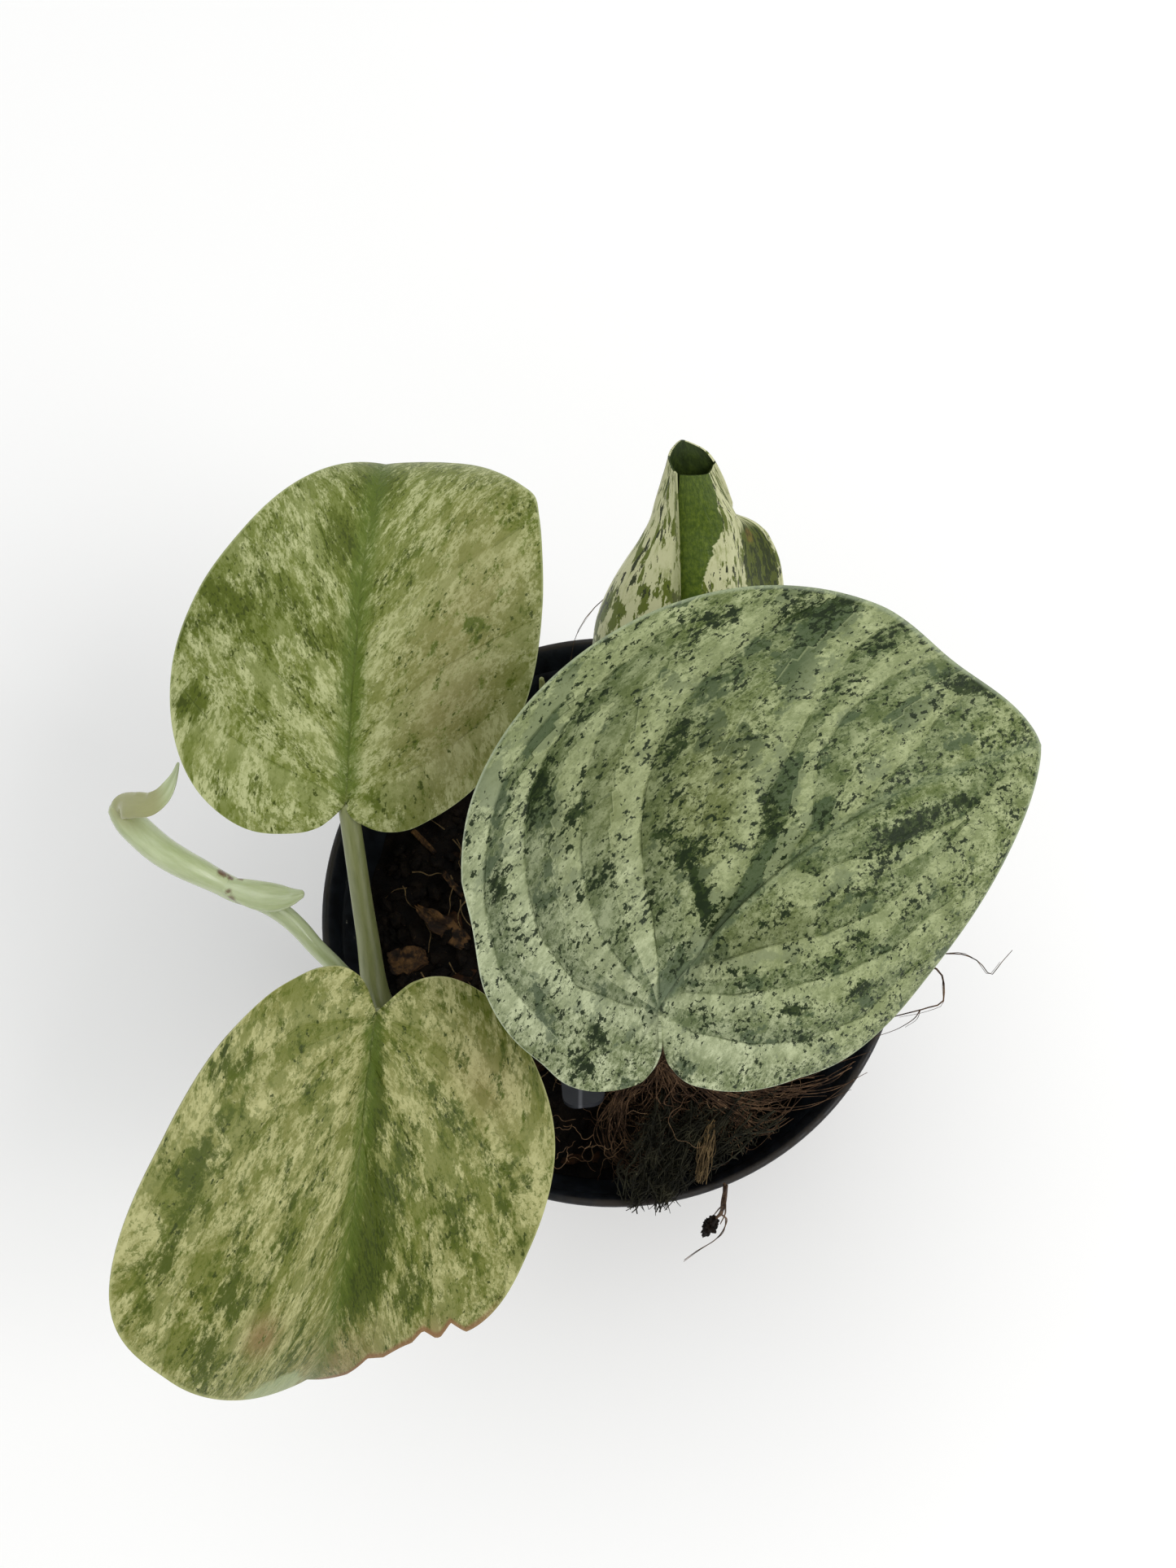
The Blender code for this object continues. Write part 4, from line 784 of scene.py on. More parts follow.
def edge(leaf, side, bearing):
    """How far one side's edge is from the joint at each bearing, in metres."""
    angles, reaches = zip(*leaf[side])
    reach = smooth(angles, reaches, bearing)
    if side == "left":
        for middle, width, depth in leaf["nicks"]:
            reach = reach - depth * np.clip(1 - np.abs(bearing - middle) / width, 0, 1)
    return reach / 1000


def even_bearings(leaf, side, share):
    """Bearings that share out the length of one side's edge evenly, for shares from 0 to 1."""
    fine = np.linspace(0, leaf[side][-1][0], 1600)
    reach = edge(leaf, side, fine)
    angle = np.radians(fine)
    corners = np.stack([reach * np.cos(angle), reach * np.sin(angle)], axis=1)
    run = np.concatenate([[0], np.cumsum(np.linalg.norm(np.diff(corners, axis=0), axis=1))])
    run += 0.01 * angle
    return np.interp(share * run[-1], run, fine)


def vein_flow(leaf, ahead, out):
    """Which side vein a point is on, by where that vein starts, and how far out along it, in centimetres."""
    low = np.full(ahead.shape, -0.060)
    high = np.full(ahead.shape, 0.120)
    first_slant, last_slant = leaf["slant"]
    for _ in range(26):
        start = (low + high) / 2
        slant = first_slant + (last_slant - first_slant) * np.clip(start / 0.030, 0, 1)
        slant = slant + 130 * np.clip(start, None, 0)
        arch = leaf["arch"] * (1 + 0.9 * (first_slant - slant)) * 1000
        reached = start + slant * out + arch * out**2
        low = np.where(reached < ahead, start, low)
        high = np.where(reached < ahead, high, start)
    return start * 100, out * np.hypot(1, slant) * 100


def crease_gaps(crease, ahead, aside):
    """Signed distances from a crease in millimetres: above zero on its inner side, toward the tip."""
    points = np.array(crease[1])
    here = np.stack([ahead, aside], axis=1) * 1000
    best = np.full(len(here), 1e9)
    signed = np.zeros(len(here))
    for start, end in zip(points[:-1], points[1:]):
        run = end - start
        part = np.clip(((here - start) @ run) / (run @ run), 0, 1)
        away = here - start - part[:, None] * run
        gap = np.hypot(away[:, 0], away[:, 1])
        turn = run[0] * (here[:, 1] - start[1]) - run[1] * (here[:, 0] - start[0])
        inner = -turn * np.sign(points[:, 1].mean())
        closer = gap < best
        best = np.where(closer, gap, best)
        signed = np.where(closer, np.where(inner > 0, gap, -gap), signed)
    return signed


def stained(marks, ahead, aside):
    """How strongly the listed stains colour each point of the flat leaf."""
    total = np.zeros(len(ahead))
    for middle_ahead, middle_aside, long, wide, turn, strength in marks:
        cos, sin = math.cos(math.radians(turn)), math.sin(math.radians(turn))
        first, second = ahead * 1000 - middle_ahead, aside * 1000 - middle_aside
        along, across = first * cos + second * sin, second * cos - first * sin
        total += strength * np.exp(-((along / long) ** 2 + (across / wide) ** 2))
    return total


def thickened(piece, thickness):
    """Gives a sheet its thickness, half to each side, with a second finish on its inner face."""
    skin = piece.modifiers.new("thickness", "SOLIDIFY")
    skin.thickness = thickness
    skin.offset = 0.0
    skin.material_offset = 1
    only(piece)
    bpy.ops.object.modifier_apply(modifier=skin.name)


def build_blade(name, leaf):
    """A flat grid wrapped round the joint, cut to the leaf's outline, creased, bent and thickened."""
    cuts = {"x_subdivisions": BLADE_SPOKES, "y_subdivisions": BLADE_RINGS}
    blade = primitive(bpy.ops.mesh.primitive_grid_add, name, size=1.0, **cuts)
    mesh = blade.data
    grid = np.array([vertex.co for vertex in mesh.vertices])
    turn, share = grid[:, 0] * 2, np.clip(grid[:, 1] + 0.5, 0, 1)
    side = np.where(turn < 0, -1.0, 1.0)
    bearing = np.zeros(len(grid))
    reach = np.zeros(len(grid))
    for sign, side_name in ((1, "left"), (-1, "right")):
        here = side == sign
        bearing[here] = even_bearings(leaf, side_name, np.abs(turn[here]))
        reach[here] = edge(leaf, side_name, bearing[here]) * share[here]
    ahead = reach * np.cos(np.radians(bearing))
    aside = side * reach * np.sin(np.radians(bearing))

    room = np.clip(reach / 0.010, 0, 1) * np.clip((1 - share) / 0.10, 0, 1)
    nearest = np.full(len(grid), CREASE_REACH)
    dip = np.zeros(len(grid))
    for crease in leaf["creases"]:
        gap = crease_gaps(crease, ahead, aside)
        own = side * np.mean([place[1] for place in crease[1]]) > 0
        steep = np.where(gap > 0, gap / CREASE_INNER, -gap / CREASE_OUTER)
        depth = np.where(own, crease[0] * np.exp(-1.5 * steep), 0)
        dip = np.maximum(dip, depth)
        nearest = np.where(own & (np.abs(gap) < np.abs(nearest)), gap, nearest)
    wave = leaf["wave"] * share**3 * np.sin(leaf["waves"] * np.radians(bearing))
    rib_width = RIB_WIDTH - RIB_TAPER * np.clip(ahead / leaf["length"], 0, 1)
    rib = leaf["groove"] * np.exp(-((aside / rib_width) ** 2)) * np.clip(1.1 - share, 0, 1)
    rib = rib * np.clip(ahead / 0.004, 0, 1)
    lift = wave - leaf["quilt"] * dip * room - rib
    where = bent(leaf, side, ahead, aside, lift)

    corners = np.array([loop.vertex_index for loop in mesh.loops])
    loop_side = np.zeros(len(mesh.loops))
    for face in mesh.polygons:
        face_side = 1.0 if grid[list(face.vertices), 0].mean() > 0 else -1.0
        loop_side[face.loop_start : face.loop_start + face.loop_total] = face_side
    start, run = vein_flow(leaf, ahead, np.abs(aside))
    if not leaf["along_veins"]:
        start, run = aside * 100, ahead * 100
    maps = {
        "flow": (start[corners] + 20 * loop_side, run[corners]),
        "flat": (ahead[corners] * 100, aside[corners] * 100),
        "rim": (share[corners], bearing[corners] / 360),
    }
    while mesh.uv_layers:
        mesh.uv_layers.remove(mesh.uv_layers[0])
    for map_name, values in maps.items():
        layer = mesh.uv_layers.new(name=map_name)
        layer.data.foreach_set("uv", np.stack(values, axis=1).astype(np.float32).ravel())
    stains = mesh.color_attributes.new(name="stains", type="FLOAT_COLOR", domain="POINT")
    marks = [stained(leaf[kind], ahead, aside) for kind in ("green", "grey", "warm")]
    # the alpha is each point's distance from its nearest crease, which places the painted light and shade
    # beside creases
    marks.append(np.clip(nearest / CREASE_REACH * 0.5 + 0.5, 0, 1))
    stains.data.foreach_set("color", np.stack(marks, axis=1).astype(np.float32).ravel())
    mesh.vertices.foreach_set("co", where.astype(np.float32).ravel())
    mesh.update()
    mesh_edit(blade)
    bpy.ops.mesh.remove_doubles(threshold=0.000002)
    bpy.ops.mesh.normals_make_consistent(inside=False)
    bpy.ops.object.mode_set(mode="OBJECT")
    mesh.update()
    if sum(face.normal.z * face.area for face in mesh.polygons) < 0:
        mesh.flip_normals()
    thickened(blade, BLADE_THICKNESS)
    return blade


MOTTLE_COLOURS = ("Ground", "Cloud", "Shade", "Patch", "Fleck")
MOTTLE_EDGES = (
    "Cloud Edge", "Shade Edge", "Patch Edge", "Fleck Edge", "Speck Edge", "Speck Part", "Patch Width",
    "Cloud Width", "Patch Depth",
)
mottle = bpy.data.node_groups.new("mottle", "ShaderNodeTree")
for way, kind, names in (
    ("INPUT", "Vector", ("Flow",)),
    ("INPUT", "Float", ("Green", "Grey", *MOTTLE_EDGES)),
    ("INPUT", "Color", MOTTLE_COLOURS),
    ("OUTPUT", "Color", ("Colour",)),
    ("OUTPUT", "Float", ("Dark",)),
):
    for socket_name in names:
        mottle.interface.new_socket(name=socket_name, in_out=way, socket_type="NodeSocket" + kind)
given = mottle.nodes.new("NodeGroupInput").outputs
handed = mottle.nodes.new("NodeGroupOutput").inputs


def laid(tree, flow, across, along, shift, detail, roughness):
    """Noise that is finer across the veins than along them, by cells in a centimetre."""
    vector = stretched(tree, flow, (across, along, 1.0), shift=(shift, shift * 0.7, 0))
    return grain(tree, vector, 1.0, detail, roughness)


def soft_step(tree, value, middle, width):
    """From 0 to 1 across an edge whose middle and width may be other nodes' outputs."""
    half = times(tree, width, 0.5)
    return between(tree, value, maths(tree, "SUBTRACT", middle, half), maths(tree, "ADD", middle, half))


def raised(tree, value, extra, amount):
    return maths(tree, "MULTIPLY_ADD", extra, amount, value)


def spotted(across, along, shift, detail, roughness, green, cluster):
    """The mottle's noise for one kind of spot, stronger in green stains and where spots gather."""
    spots = laid(mottle, given["Flow"], across, along, shift, detail, roughness)
    spots = raised(mottle, spots, given["Green"], green)
    return raised(mottle, spots, gathered, cluster)


clusters = laid(mottle, given["Flow"], 2.2, 1.5, 11, 3.0, 0.6)
gathered = maths(mottle, "SUBTRACT", clusters, 0.5)
clouds = laid(mottle, given["Flow"], 3.4, 1.9, 3, 6.0, 0.86)
cloud_part = soft_step(mottle, clouds, given["Cloud Edge"], given["Cloud Width"])
tint = mixed(mottle, cloud_part, given["Ground"], given["Cloud"])
shades = raised(mottle, laid(mottle, given["Flow"], 1.9, 1.3, 7, 5.0, 0.66), given["Grey"], 0.15)
shade_part = soft_step(mottle, shades, given["Shade Edge"], 0.05)
tint = mixed(mottle, shade_part, tint, given["Shade"], 0.85)
specks = spotted(17.0, 10.0, 31, 3.0, 0.7, 0.06, 0.35)
speck_part = times(mottle, soft_step(mottle, specks, given["Speck Edge"], 0.06), given["Speck Part"])
tint = mixed(mottle, speck_part, tint, given["Patch"])
patches = spotted(5.0, 3.4, 17, 7.0, 0.80, 0.17, 0.25)
patch_part = soft_step(mottle, patches, given["Patch Edge"], given["Patch Width"])
deep = maths(
    mottle, "MAXIMUM", between(mottle, clusters, 0.45, 0.60), between(mottle, given["Green"], 0.25, 0.6)
)
patch_tint = mixed(mottle, times(mottle, deep, given["Patch Depth"]), given["Patch"], given["Fleck"])
tint = mixed(mottle, patch_part, tint, patch_tint, 0.95)
flecks = spotted(12.0, 7.5, 23, 5.0, 0.66, 0.08, 0.45)
fleck_part = soft_step(mottle, flecks, given["Fleck Edge"], 0.022)
tint = mixed(mottle, fleck_part, tint, given["Fleck"], 0.96)
mottle.links.new(tint, handed["Colour"])
mottle.links.new(maths(mottle, "MAXIMUM", patch_part, fleck_part), handed["Dark"])


def blade_skin(name, colours, edges, warm, midrib, line, margin):
    """The upper face of a blade: mottled along its veins, with its midrib, creases and pale margin.

    The midrib is a colour, a half-width in centimetres and a strength. The line is a colour, the strength of
    the painted highlight and painted shade beside each crease, and that of the painted shade along it."""
    made, tree, shader, place = surface(name, specular_ior_level=0.18)
    flow = uv(tree, "flow")
    ahead, aside, _ = apart(tree, uv(tree, "flat"))
    aside = maths(tree, "ABSOLUTE", aside)
    stains = shade(tree, "Attribute", attribute_name="stains", attribute_type="GEOMETRY").outputs
    green, grey, dry = shade(tree, "SeparateColor", {0: stains["Color"]}).outputs
    inputs = {"Flow": flow, "Green": green, "Grey": grey}
    inputs.update(zip(MOTTLE_COLOURS + MOTTLE_EDGES, colours + edges))
    spots = shade(tree, "Group", inputs, node_tree=mottle).outputs
    # the warm stains tint the blade its own tan; on the back left leaf's right half they are also painted
    # shadow of the right leaf
    warm_tone_and_shadow = times(tree, dry, maths(tree, "MULTIPLY_ADD", spots["Dark"], -0.62, 0.62))
    tint = mixed(tree, warm_tone_and_shadow, spots["Colour"], warm)
    crease = maths(tree, "MULTIPLY_ADD", stains["Alpha"], 2 * CREASE_REACH, -CREASE_REACH)
    clear = maths(tree, "SUBTRACT", 1.0, spots["Dark"])
    # painted highlight: a band on the outer side of each crease is lightened toward the ground colour
    outer = times(tree, between(tree, crease, -6.5, -1.5), between(tree, crease, 0.2, -0.6))
    tint = mixed(tree, times(tree, outer, clear), tint, colours[0], line[1])
    # painted shade: a band on the inner side of each crease is darkened toward the shade colour
    inner = times(tree, between(tree, crease, 7.0, 1.5), between(tree, crease, -0.2, 0.4))
    tint = mixed(tree, times(tree, inner, clear), tint, colours[2], line[1] * 0.8)
    # painted shade: a thin dark line along the bottom of each crease
    thin = between(tree, maths(tree, "ABSOLUTE", crease), 0.30, 0.05)
    thin = times(tree, thin, between(tree, grain(tree, place, 180.0), 0.42, 0.56))
    tint = mixed(tree, thin, tint, line[0], line[2])
    wobble = maths(tree, "MULTIPLY_ADD", grain(tree, place, 300.0, 4.0), 0.24, -0.12)
    band = between(tree, maths(tree, "ADD", aside, wobble), midrib[1], midrib[1] * 0.3)
    band = times(tree, band, between(tree, ahead, 0.0, 0.3))
    streaky = between(tree, laid(tree, uv(tree, "flat"), 4.0, 22.0, 5, 4.0, 0.7), 0.3, 0.7)
    band = times(tree, band, maths(tree, "MULTIPLY_ADD", streaky, 0.6, 0.4))
    tint = mixed(tree, band, tint, midrib[0], midrib[2])
    # painted shade: a thin dark line along the midrib's groove, strongest near the base
    midrib_groove_shade = times(tree, between(tree, aside, 0.035, 0.008), between(tree, ahead, 6.5, 1.0))
    tint = mixed(tree, midrib_groove_shade, tint, colours[4], 0.35)
    off_notch = maths(tree, "MAXIMUM", between(tree, ahead, 0.2, 0.8), between(tree, aside, 0.2, 0.7))
    pale = times(tree, between(tree, apart(tree, uv(tree, "rim"))[0], 0.987, 0.997), off_notch)
    tint = mixed(tree, pale, tint, margin, 0.5)
    pores = grain(tree, place, 1700.0, 3.0, 0.6)
    tree.links.new(maths(tree, "MULTIPLY_ADD", pores, 0.20, 0.36), shader.inputs["Roughness"])
    height = maths(tree, "ADD", times(tree, pores, 0.30), laid(tree, flow, 9.0, 2.5, 41, 4.0, 0.6))
    dressed(tree, shader, tint, maths(tree, "SUBTRACT", height, times(tree, thin, 0.5)), 0.00025)
    return made, tree, shader, tint


def gap_to(tree, place, spot):
    """How far a place is from a spot."""
    return shade(tree, "VectorMath", {0: place, 1: spot}, operation="DISTANCE").outputs["Value"]


pale_underside, tree, shader, place = surface("pale_underside", roughness=0.55, specular_ior_level=0.35)
cloudy = laid(tree, uv(tree, "flow"), 4.0, 1.8, 3, 6.0, 0.7)
tint = mixed(tree, between(tree, cloudy, 0.42, 0.62), rgb(172, 184, 142), rgb(120, 138, 84))
dressed(tree, shader, tint, grain(tree, place, 900.0, 3.0), 0.0001)

cream_skin, _, _, _ = blade_skin(
    "cream_skin",
    (rgb(180, 185, 133), rgb(122, 131, 66), rgb(109, 120, 53), rgb(90, 103, 27), rgb(60, 71, 14)),
    (0.510, 0.54, 0.580, 0.640, 0.54, 0.68, 0.12, 0.18, 0.4),
    warm=rgb(134, 124, 80),
    midrib=(rgb(88, 108, 38), 0.34, 0.7),
    line=(rgb(84, 104, 40), 0.18, 0.14),
    margin=rgb(180, 188, 140),
)
leaf_back_left = build_blade("back_left_blade", LEAF_BACK_LEFT)
finished(leaf_back_left, [cream_skin, pale_underside], 60, "leaf_cream", "leaf_back_left")

# the torn edge beside the tip has dried to a reddish rim, and the tip's rolled point shows its pale underside
ROLLED_POINT = (7.10, -0.75, 0.0)
front_skin, tree, shader, tint = blade_skin(
    "front_skin",
    (rgb(176, 175, 122), rgb(117, 120, 60), rgb(101, 108, 42), rgb(78, 91, 17), rgb(50, 62, 8)),
    (0.50, 0.54, 0.572, 0.645, 0.55, 0.62, 0.11, 0.20, 0.5),
    warm=rgb(138, 112, 76),
    midrib=(rgb(82, 100, 30), 0.26, 0.75),
    line=(rgb(84, 104, 36), 0.18, 0.14),
    margin=rgb(176, 178, 124),
)
flat = uv(tree, "flat")
rim, bearing, _ = apart(tree, uv(tree, "rim"))
torn = times(tree, between(tree, rim, 0.968, 0.990), between(tree, bearing, 0.090, 0.070))
torn = times(tree, torn, between(tree, apart(tree, flat)[1], 0.05, 0.20))
tint = mixed(tree, torn, tint, rgb(128, 84, 58), 0.75)
rolled_gap = raised(tree, gap_to(tree, flat, ROLLED_POINT), grain(tree, flat, 3.0, 4.0, 0.7), 0.90)
tint = mixed(tree, between(tree, rolled_gap, 1.12, 0.86), tint, rgb(158, 170, 128), 0.7)
tree.links.new(tint, shader.inputs["Base Color"])
leaf_front_left = build_blade("front_left_blade", LEAF_FRONT_LEFT)
finished(leaf_front_left, [front_skin, pale_underside], 60, "leaf_cream", "leaf_front_left")

# the satin leaf's lobes at the base carry a painted sheen: paler and greyer toward the light
satin_skin, tree, shader, tint = blade_skin(
    "satin_skin",
    (rgb(164, 173, 127), rgb(91, 104, 55), rgb(66, 82, 53), rgb(46, 63, 17), rgb(20, 35, 5)),
    (0.485, 0.60, 0.635, 0.590, 0.565, 0.80, 0.05, 0.24, 0.50),
    warm=rgb(112, 113, 66),
    midrib=(rgb(90, 106, 76), 0.14, 0.5),
    line=(rgb(46, 62, 26), 0.38, 0.42),
    margin=rgb(168, 180, 150),
)
flat = uv(tree, "flat")
painted_sheen = between(tree, raised(tree, apart(tree, flat)[0], grain(tree, flat, 0.9, 3.0), 3.0), 4.2, 0.8)
inputs = {"Color": tint, "Fac": painted_sheen, "Saturation": 0.78, "Value": 1.28}
tree.links.new(shade(tree, "HueSaturation", inputs).outputs[0], shader.inputs["Base Color"])
leaf_right = build_blade("right_blade", LEAF_RIGHT)
finished(leaf_right, [satin_skin, pale_underside], 60, "leaf_satin", "leaf_right")

# Right cutting
# A second rooted stem at the front of the pot, hidden by the big leaf: one stalk goes up to that leaf, the
# other lies back over the soil to the leaf that is still rolled.
RIGHT_STEM = ((14, -27, 54, 2.8), (14, -27, 76, 3.2), (14, -26.6, 94, 3.1), (13.8, -25.6, 103, 1.8))
RIGHT_STALK = ((14, -27, 96, 2.4), (12.4, -29, 112, 2.3), (9.2, -30.4, 134, 2.1), (6.2, -32, 155.5, 1.7))
BACK_STALK = ((14, -27, 90, 2.4), (14, -15, 96, 2.2), (13, 10, 95, 2))
BACK_STALK_TIP_RADII = (1.9, 1.8)
FURLED_BASE = (0.012, 0.025, 0.106)
FURLED_TIP = (0.0115, 0.066, 0.165)
FURLED_SECTIONS = (
    # share of the way up, and in millimetres: the left side, the right lobe, the roll, and the lap's edge
    (0.000, 5.0, 6.0, 5.0, 0.20), (0.100, 12.0, 14.0, 10.0, 0.20), (0.250, 15.5, 18.0, 12.5, 0.20),
    (0.400, 15.9, 20.0, 13.0, 0.20), (0.510, 15.0, 20.2, 13.0, 0.20), (0.610, 12.3, 19.5, 12.4, 0.08),
    (0.685, 9.4, 18.1, 11.7, -0.05), (0.722, 7.8, 16.9, 11.3, -0.17), (0.760, 6.4, 15.1, 10.8, -0.27),
    (0.785, 5.6, 12.6, 10.4, -0.38), (0.797, 5.3, 10.3, 10.1, -0.44), (0.840, 4.6, 9.0, 8.4, -0.65),
    (0.900, 3.5, 7.4, 6.0, -0.95), (0.950, 2.6, 5.6, 4.4, -1.19), (1.000, 2.0, 3.4, 3.0, -1.40),
)
FURLED_DEPTH = 0.58
FURLED_LAP_RISE = 0.0009
FURLED_TOPS = (0.925, 0.925, 0.925, 0.93, 0.94, 0.95, 0.98, 1.0, 0.985, 0.965, 0.945, 0.935)
FURLED_ROWS = 120
FURLED_ACROSS = 240
FURLED_THICKNESS = 0.0004


def furled_frame():
    """The rolled blade's base and length, and its directions: along, to the right and to the front."""
    base = np.array(FURLED_BASE)
    along = np.array(FURLED_TIP) - base
    length = np.linalg.norm(along)
    along /= length
    right = np.array((1.0, 0.0, 0.0))
    right -= along * right.dot(along)
    right /= np.linalg.norm(right)
    return base, length, along, right, np.cross(right, along)


def furled_places(rows, across):
    """Places on the rolled blade's middle layer, by rows from its base and by turns across it."""
    base, length, along, right, front = furled_frame()
    stations, *sides = np.array(FURLED_SECTIONS).T
    turns_at = np.arange(len(FURLED_TOPS))
    places = np.empty((rows, across, 3))
    for column, turn in enumerate(np.linspace(0, turns_at[-1], across)):
        turn = np.array([turn])
        station = np.linspace(0, 1, rows) * smooth(turns_at, FURLED_TOPS, turn)
        left, lobe, roll, lap = [smooth(stations, side / 1000, station) for side in sides]
        deep = FURLED_DEPTH * left
        section = (
            (-0.15 * left, 0.72 * deep),
            (0.30 * roll, 0.86 * deep),
            (0.80 * roll, 0.62 * deep),
            (roll, 0.15 * deep),
            (0.5 * (roll + lobe), -0.10 * deep),
            (lobe, -0.25 * deep),
            (0.80 * lobe, -0.75 * deep),
            (0 * left, -deep),
            (-0.70 * left, -0.75 * deep),
            (-left, 0 * deep),
            (-0.72 * left, 0.70 * deep),
            (lap, 0.90 * deep + FURLED_LAP_RISE),
        )
        read = smooth(turns_at, np.array(section).reshape(len(section), -1), turn).reshape(2, rows)
        sideways, toward = read[..., None]
        places[:, column] = base + along * (station * length)[:, None] + right * sideways + front * toward
    return places


base, _, along, _, front = furled_frame()
furled_end = base - front * FURLED_DEPTH * FURLED_SECTIONS[0][1] / 1000
ends = (furled_end - along * 0.006, furled_end)
back_stalk = BACK_STALK + tuple((*(end * 1000), radius) for end, radius in zip(ends, BACK_STALK_TIP_RADII))
stem_right = grown("right_stem", [stalk(rows) for rows in (RIGHT_STEM, RIGHT_STALK, back_stalk)])
finished(stem_right, stalk_green, 60, "stalk_green", "stem_right")

# Furled leaf
# The youngest leaf, still rolled: its right half is tucked under its left and its tip stands open. The
# outside is cream with dark spots in rows along the veins, the band beside the lap is plain deep green.
RUST_SPOT = (0.335, 0.800, 0.0)
cuts = {"x_subdivisions": FURLED_ACROSS, "y_subdivisions": FURLED_ROWS}
furled = primitive(bpy.ops.mesh.primitive_grid_add, "furled_blade", size=1.0, **cuts)
grid = np.array([vertex.co for vertex in furled.data.vertices])
columns = np.rint((grid[:, 0] + 0.5) * FURLED_ACROSS).astype(int)
rows = np.rint((grid[:, 1] + 0.5) * FURLED_ROWS).astype(int)
rolled = furled_places(FURLED_ROWS + 1, FURLED_ACROSS + 1)[rows, columns]
furled.data.vertices.foreach_set("co", rolled.astype(np.float32).ravel())
furled.data.update()
mesh_edit(furled)
bpy.ops.mesh.flip_normals()
bpy.ops.object.mode_set(mode="OBJECT")
thickened(furled, FURLED_THICKNESS)


def rolled_noise(tree, scale, detail, roughness, shift=(0, 0, 0)):
    """Noise in cells across and along the rolled blade's own sheet."""
    return grain(tree, stretched(tree, sheet, (*scale, 1.0), shift=shift), 1.0, detail, roughness)


def rolled_band(tree, turn, start, end, shift):
    """1 inside a band of turns across the rolled blade, with an edge that wavers along it."""
    wobble = rolled_noise(tree, (1.0, 11.0), 4.0, 0.7, (shift, 0, 0))
    moved = maths(tree, "ADD", turn, maths(tree, "MULTIPLY_ADD", wobble, 0.9, -0.45))
    inside = between(tree, moved, start - 0.03, start + 0.03)
    return times(tree, inside, between(tree, moved, end + 0.03, end - 0.03))


furled_skin, tree, shader, place = surface("furled_skin", specular_ior_level=0.5, roughness=0.36)
sheet = uv(tree, "UVMap")
across, upward, _ = apart(tree, sheet)
turn = times(tree, across, len(FURLED_TOPS) - 1.0)
faint = rolled_noise(tree, (46.0, 16.0), 5.0, 0.75)
tint = mixed(tree, between(tree, faint, 0.50, 0.70), rgb(196, 197, 153), rgb(150, 156, 100))
gathered = maths(tree, "SUBTRACT", rolled_noise(tree, (16.0, 5.0), 3.0, 0.5, (1, 6, 0)), 0.5)
low_left = times(tree, between(tree, turn, 8.4, 9.4), between(tree, upward, 0.72, 0.50))
green_spots = raised(tree, rolled_noise(tree, (40.0, 11.0), 4.0, 0.62), low_left, 0.07)
green_spots = raised(tree, green_spots, gathered, 0.35)
tint = mixed(tree, between(tree, green_spots, 0.545, 0.575), tint, rgb(92, 104, 32))
dark_spots = raised(tree, rolled_noise(tree, (64.0, 20.0), 4.0, 0.65, (4, 2, 0)), gathered, 0.45)
tint = mixed(tree, between(tree, dark_spots, 0.585, 0.605), tint, rgb(44, 52, 18))
lobe_patch = times(tree, rolled_band(tree, turn, 3.05, 4.7, 5.0), between(tree, upward, 0.85, 0.81))
tint = mixed(tree, lobe_patch, tint, rgb(84, 94, 30))
lobe_spots = times(tree, lobe_patch, between(tree, dark_spots, 0.52, 0.55))
tint = mixed(tree, lobe_spots, tint, rgb(48, 58, 16))
rust_gap = gap_to(tree, sheet, RUST_SPOT)
rust = times(tree, between(tree, rust_gap, 0.030, 0.012), between(tree, faint, 0.35, 0.6))
tint = mixed(tree, rust, tint, rgb(140, 110, 46), 0.7)
leaned = maths(tree, "ADD", maths(tree, "MULTIPLY_ADD", upward, -4.2, 3.57), turn)
bright = between(tree, rolled_noise(tree, (60.0, 60.0), 4.0, 0.7), 0.35, 0.75)
stripe_tint = mixed(tree, bright, rgb(58, 78, 10), rgb(96, 114, 30))
tint = mixed(tree, rolled_band(tree, leaned, -2.0, 1.72, 2.0), tint, stripe_tint)
edge_line = times(tree, between(tree, turn, 10.72, 10.9), between(tree, upward, 0.2, 0.4))
tint = mixed(tree, edge_line, tint, rgb(120, 126, 78), 0.5)
dressed(tree, shader, tint, faint, 0.0002)
# painted shade: the inner faces of the roll are dark green all over, for the shade inside the rolled hollow
furled_inside_shade, tree, shader, place = surface("furled_inside_shade", roughness=0.5)
sheet = uv(tree, "UVMap")
bright = rolled_noise(tree, (40.0, 24.0), 4.0, 0.7)
tint = mixed(tree, between(tree, bright, 0.35, 0.75), rgb(34, 48, 10), rgb(58, 74, 20))
dressed(tree, shader, tint, bright, 0.0002)
finished(furled, [furled_skin, furled_inside_shade], 50, "leaf_young", "leaf_furled")
# faces turned in toward the roll's axis take the painted-shade material
for face in furled.data.polygons:
    out = np.array(face.center) - base
    out -= along * out.dot(along)
    face.material_index = 0 if out.dot(face.normal) > 0 else 1

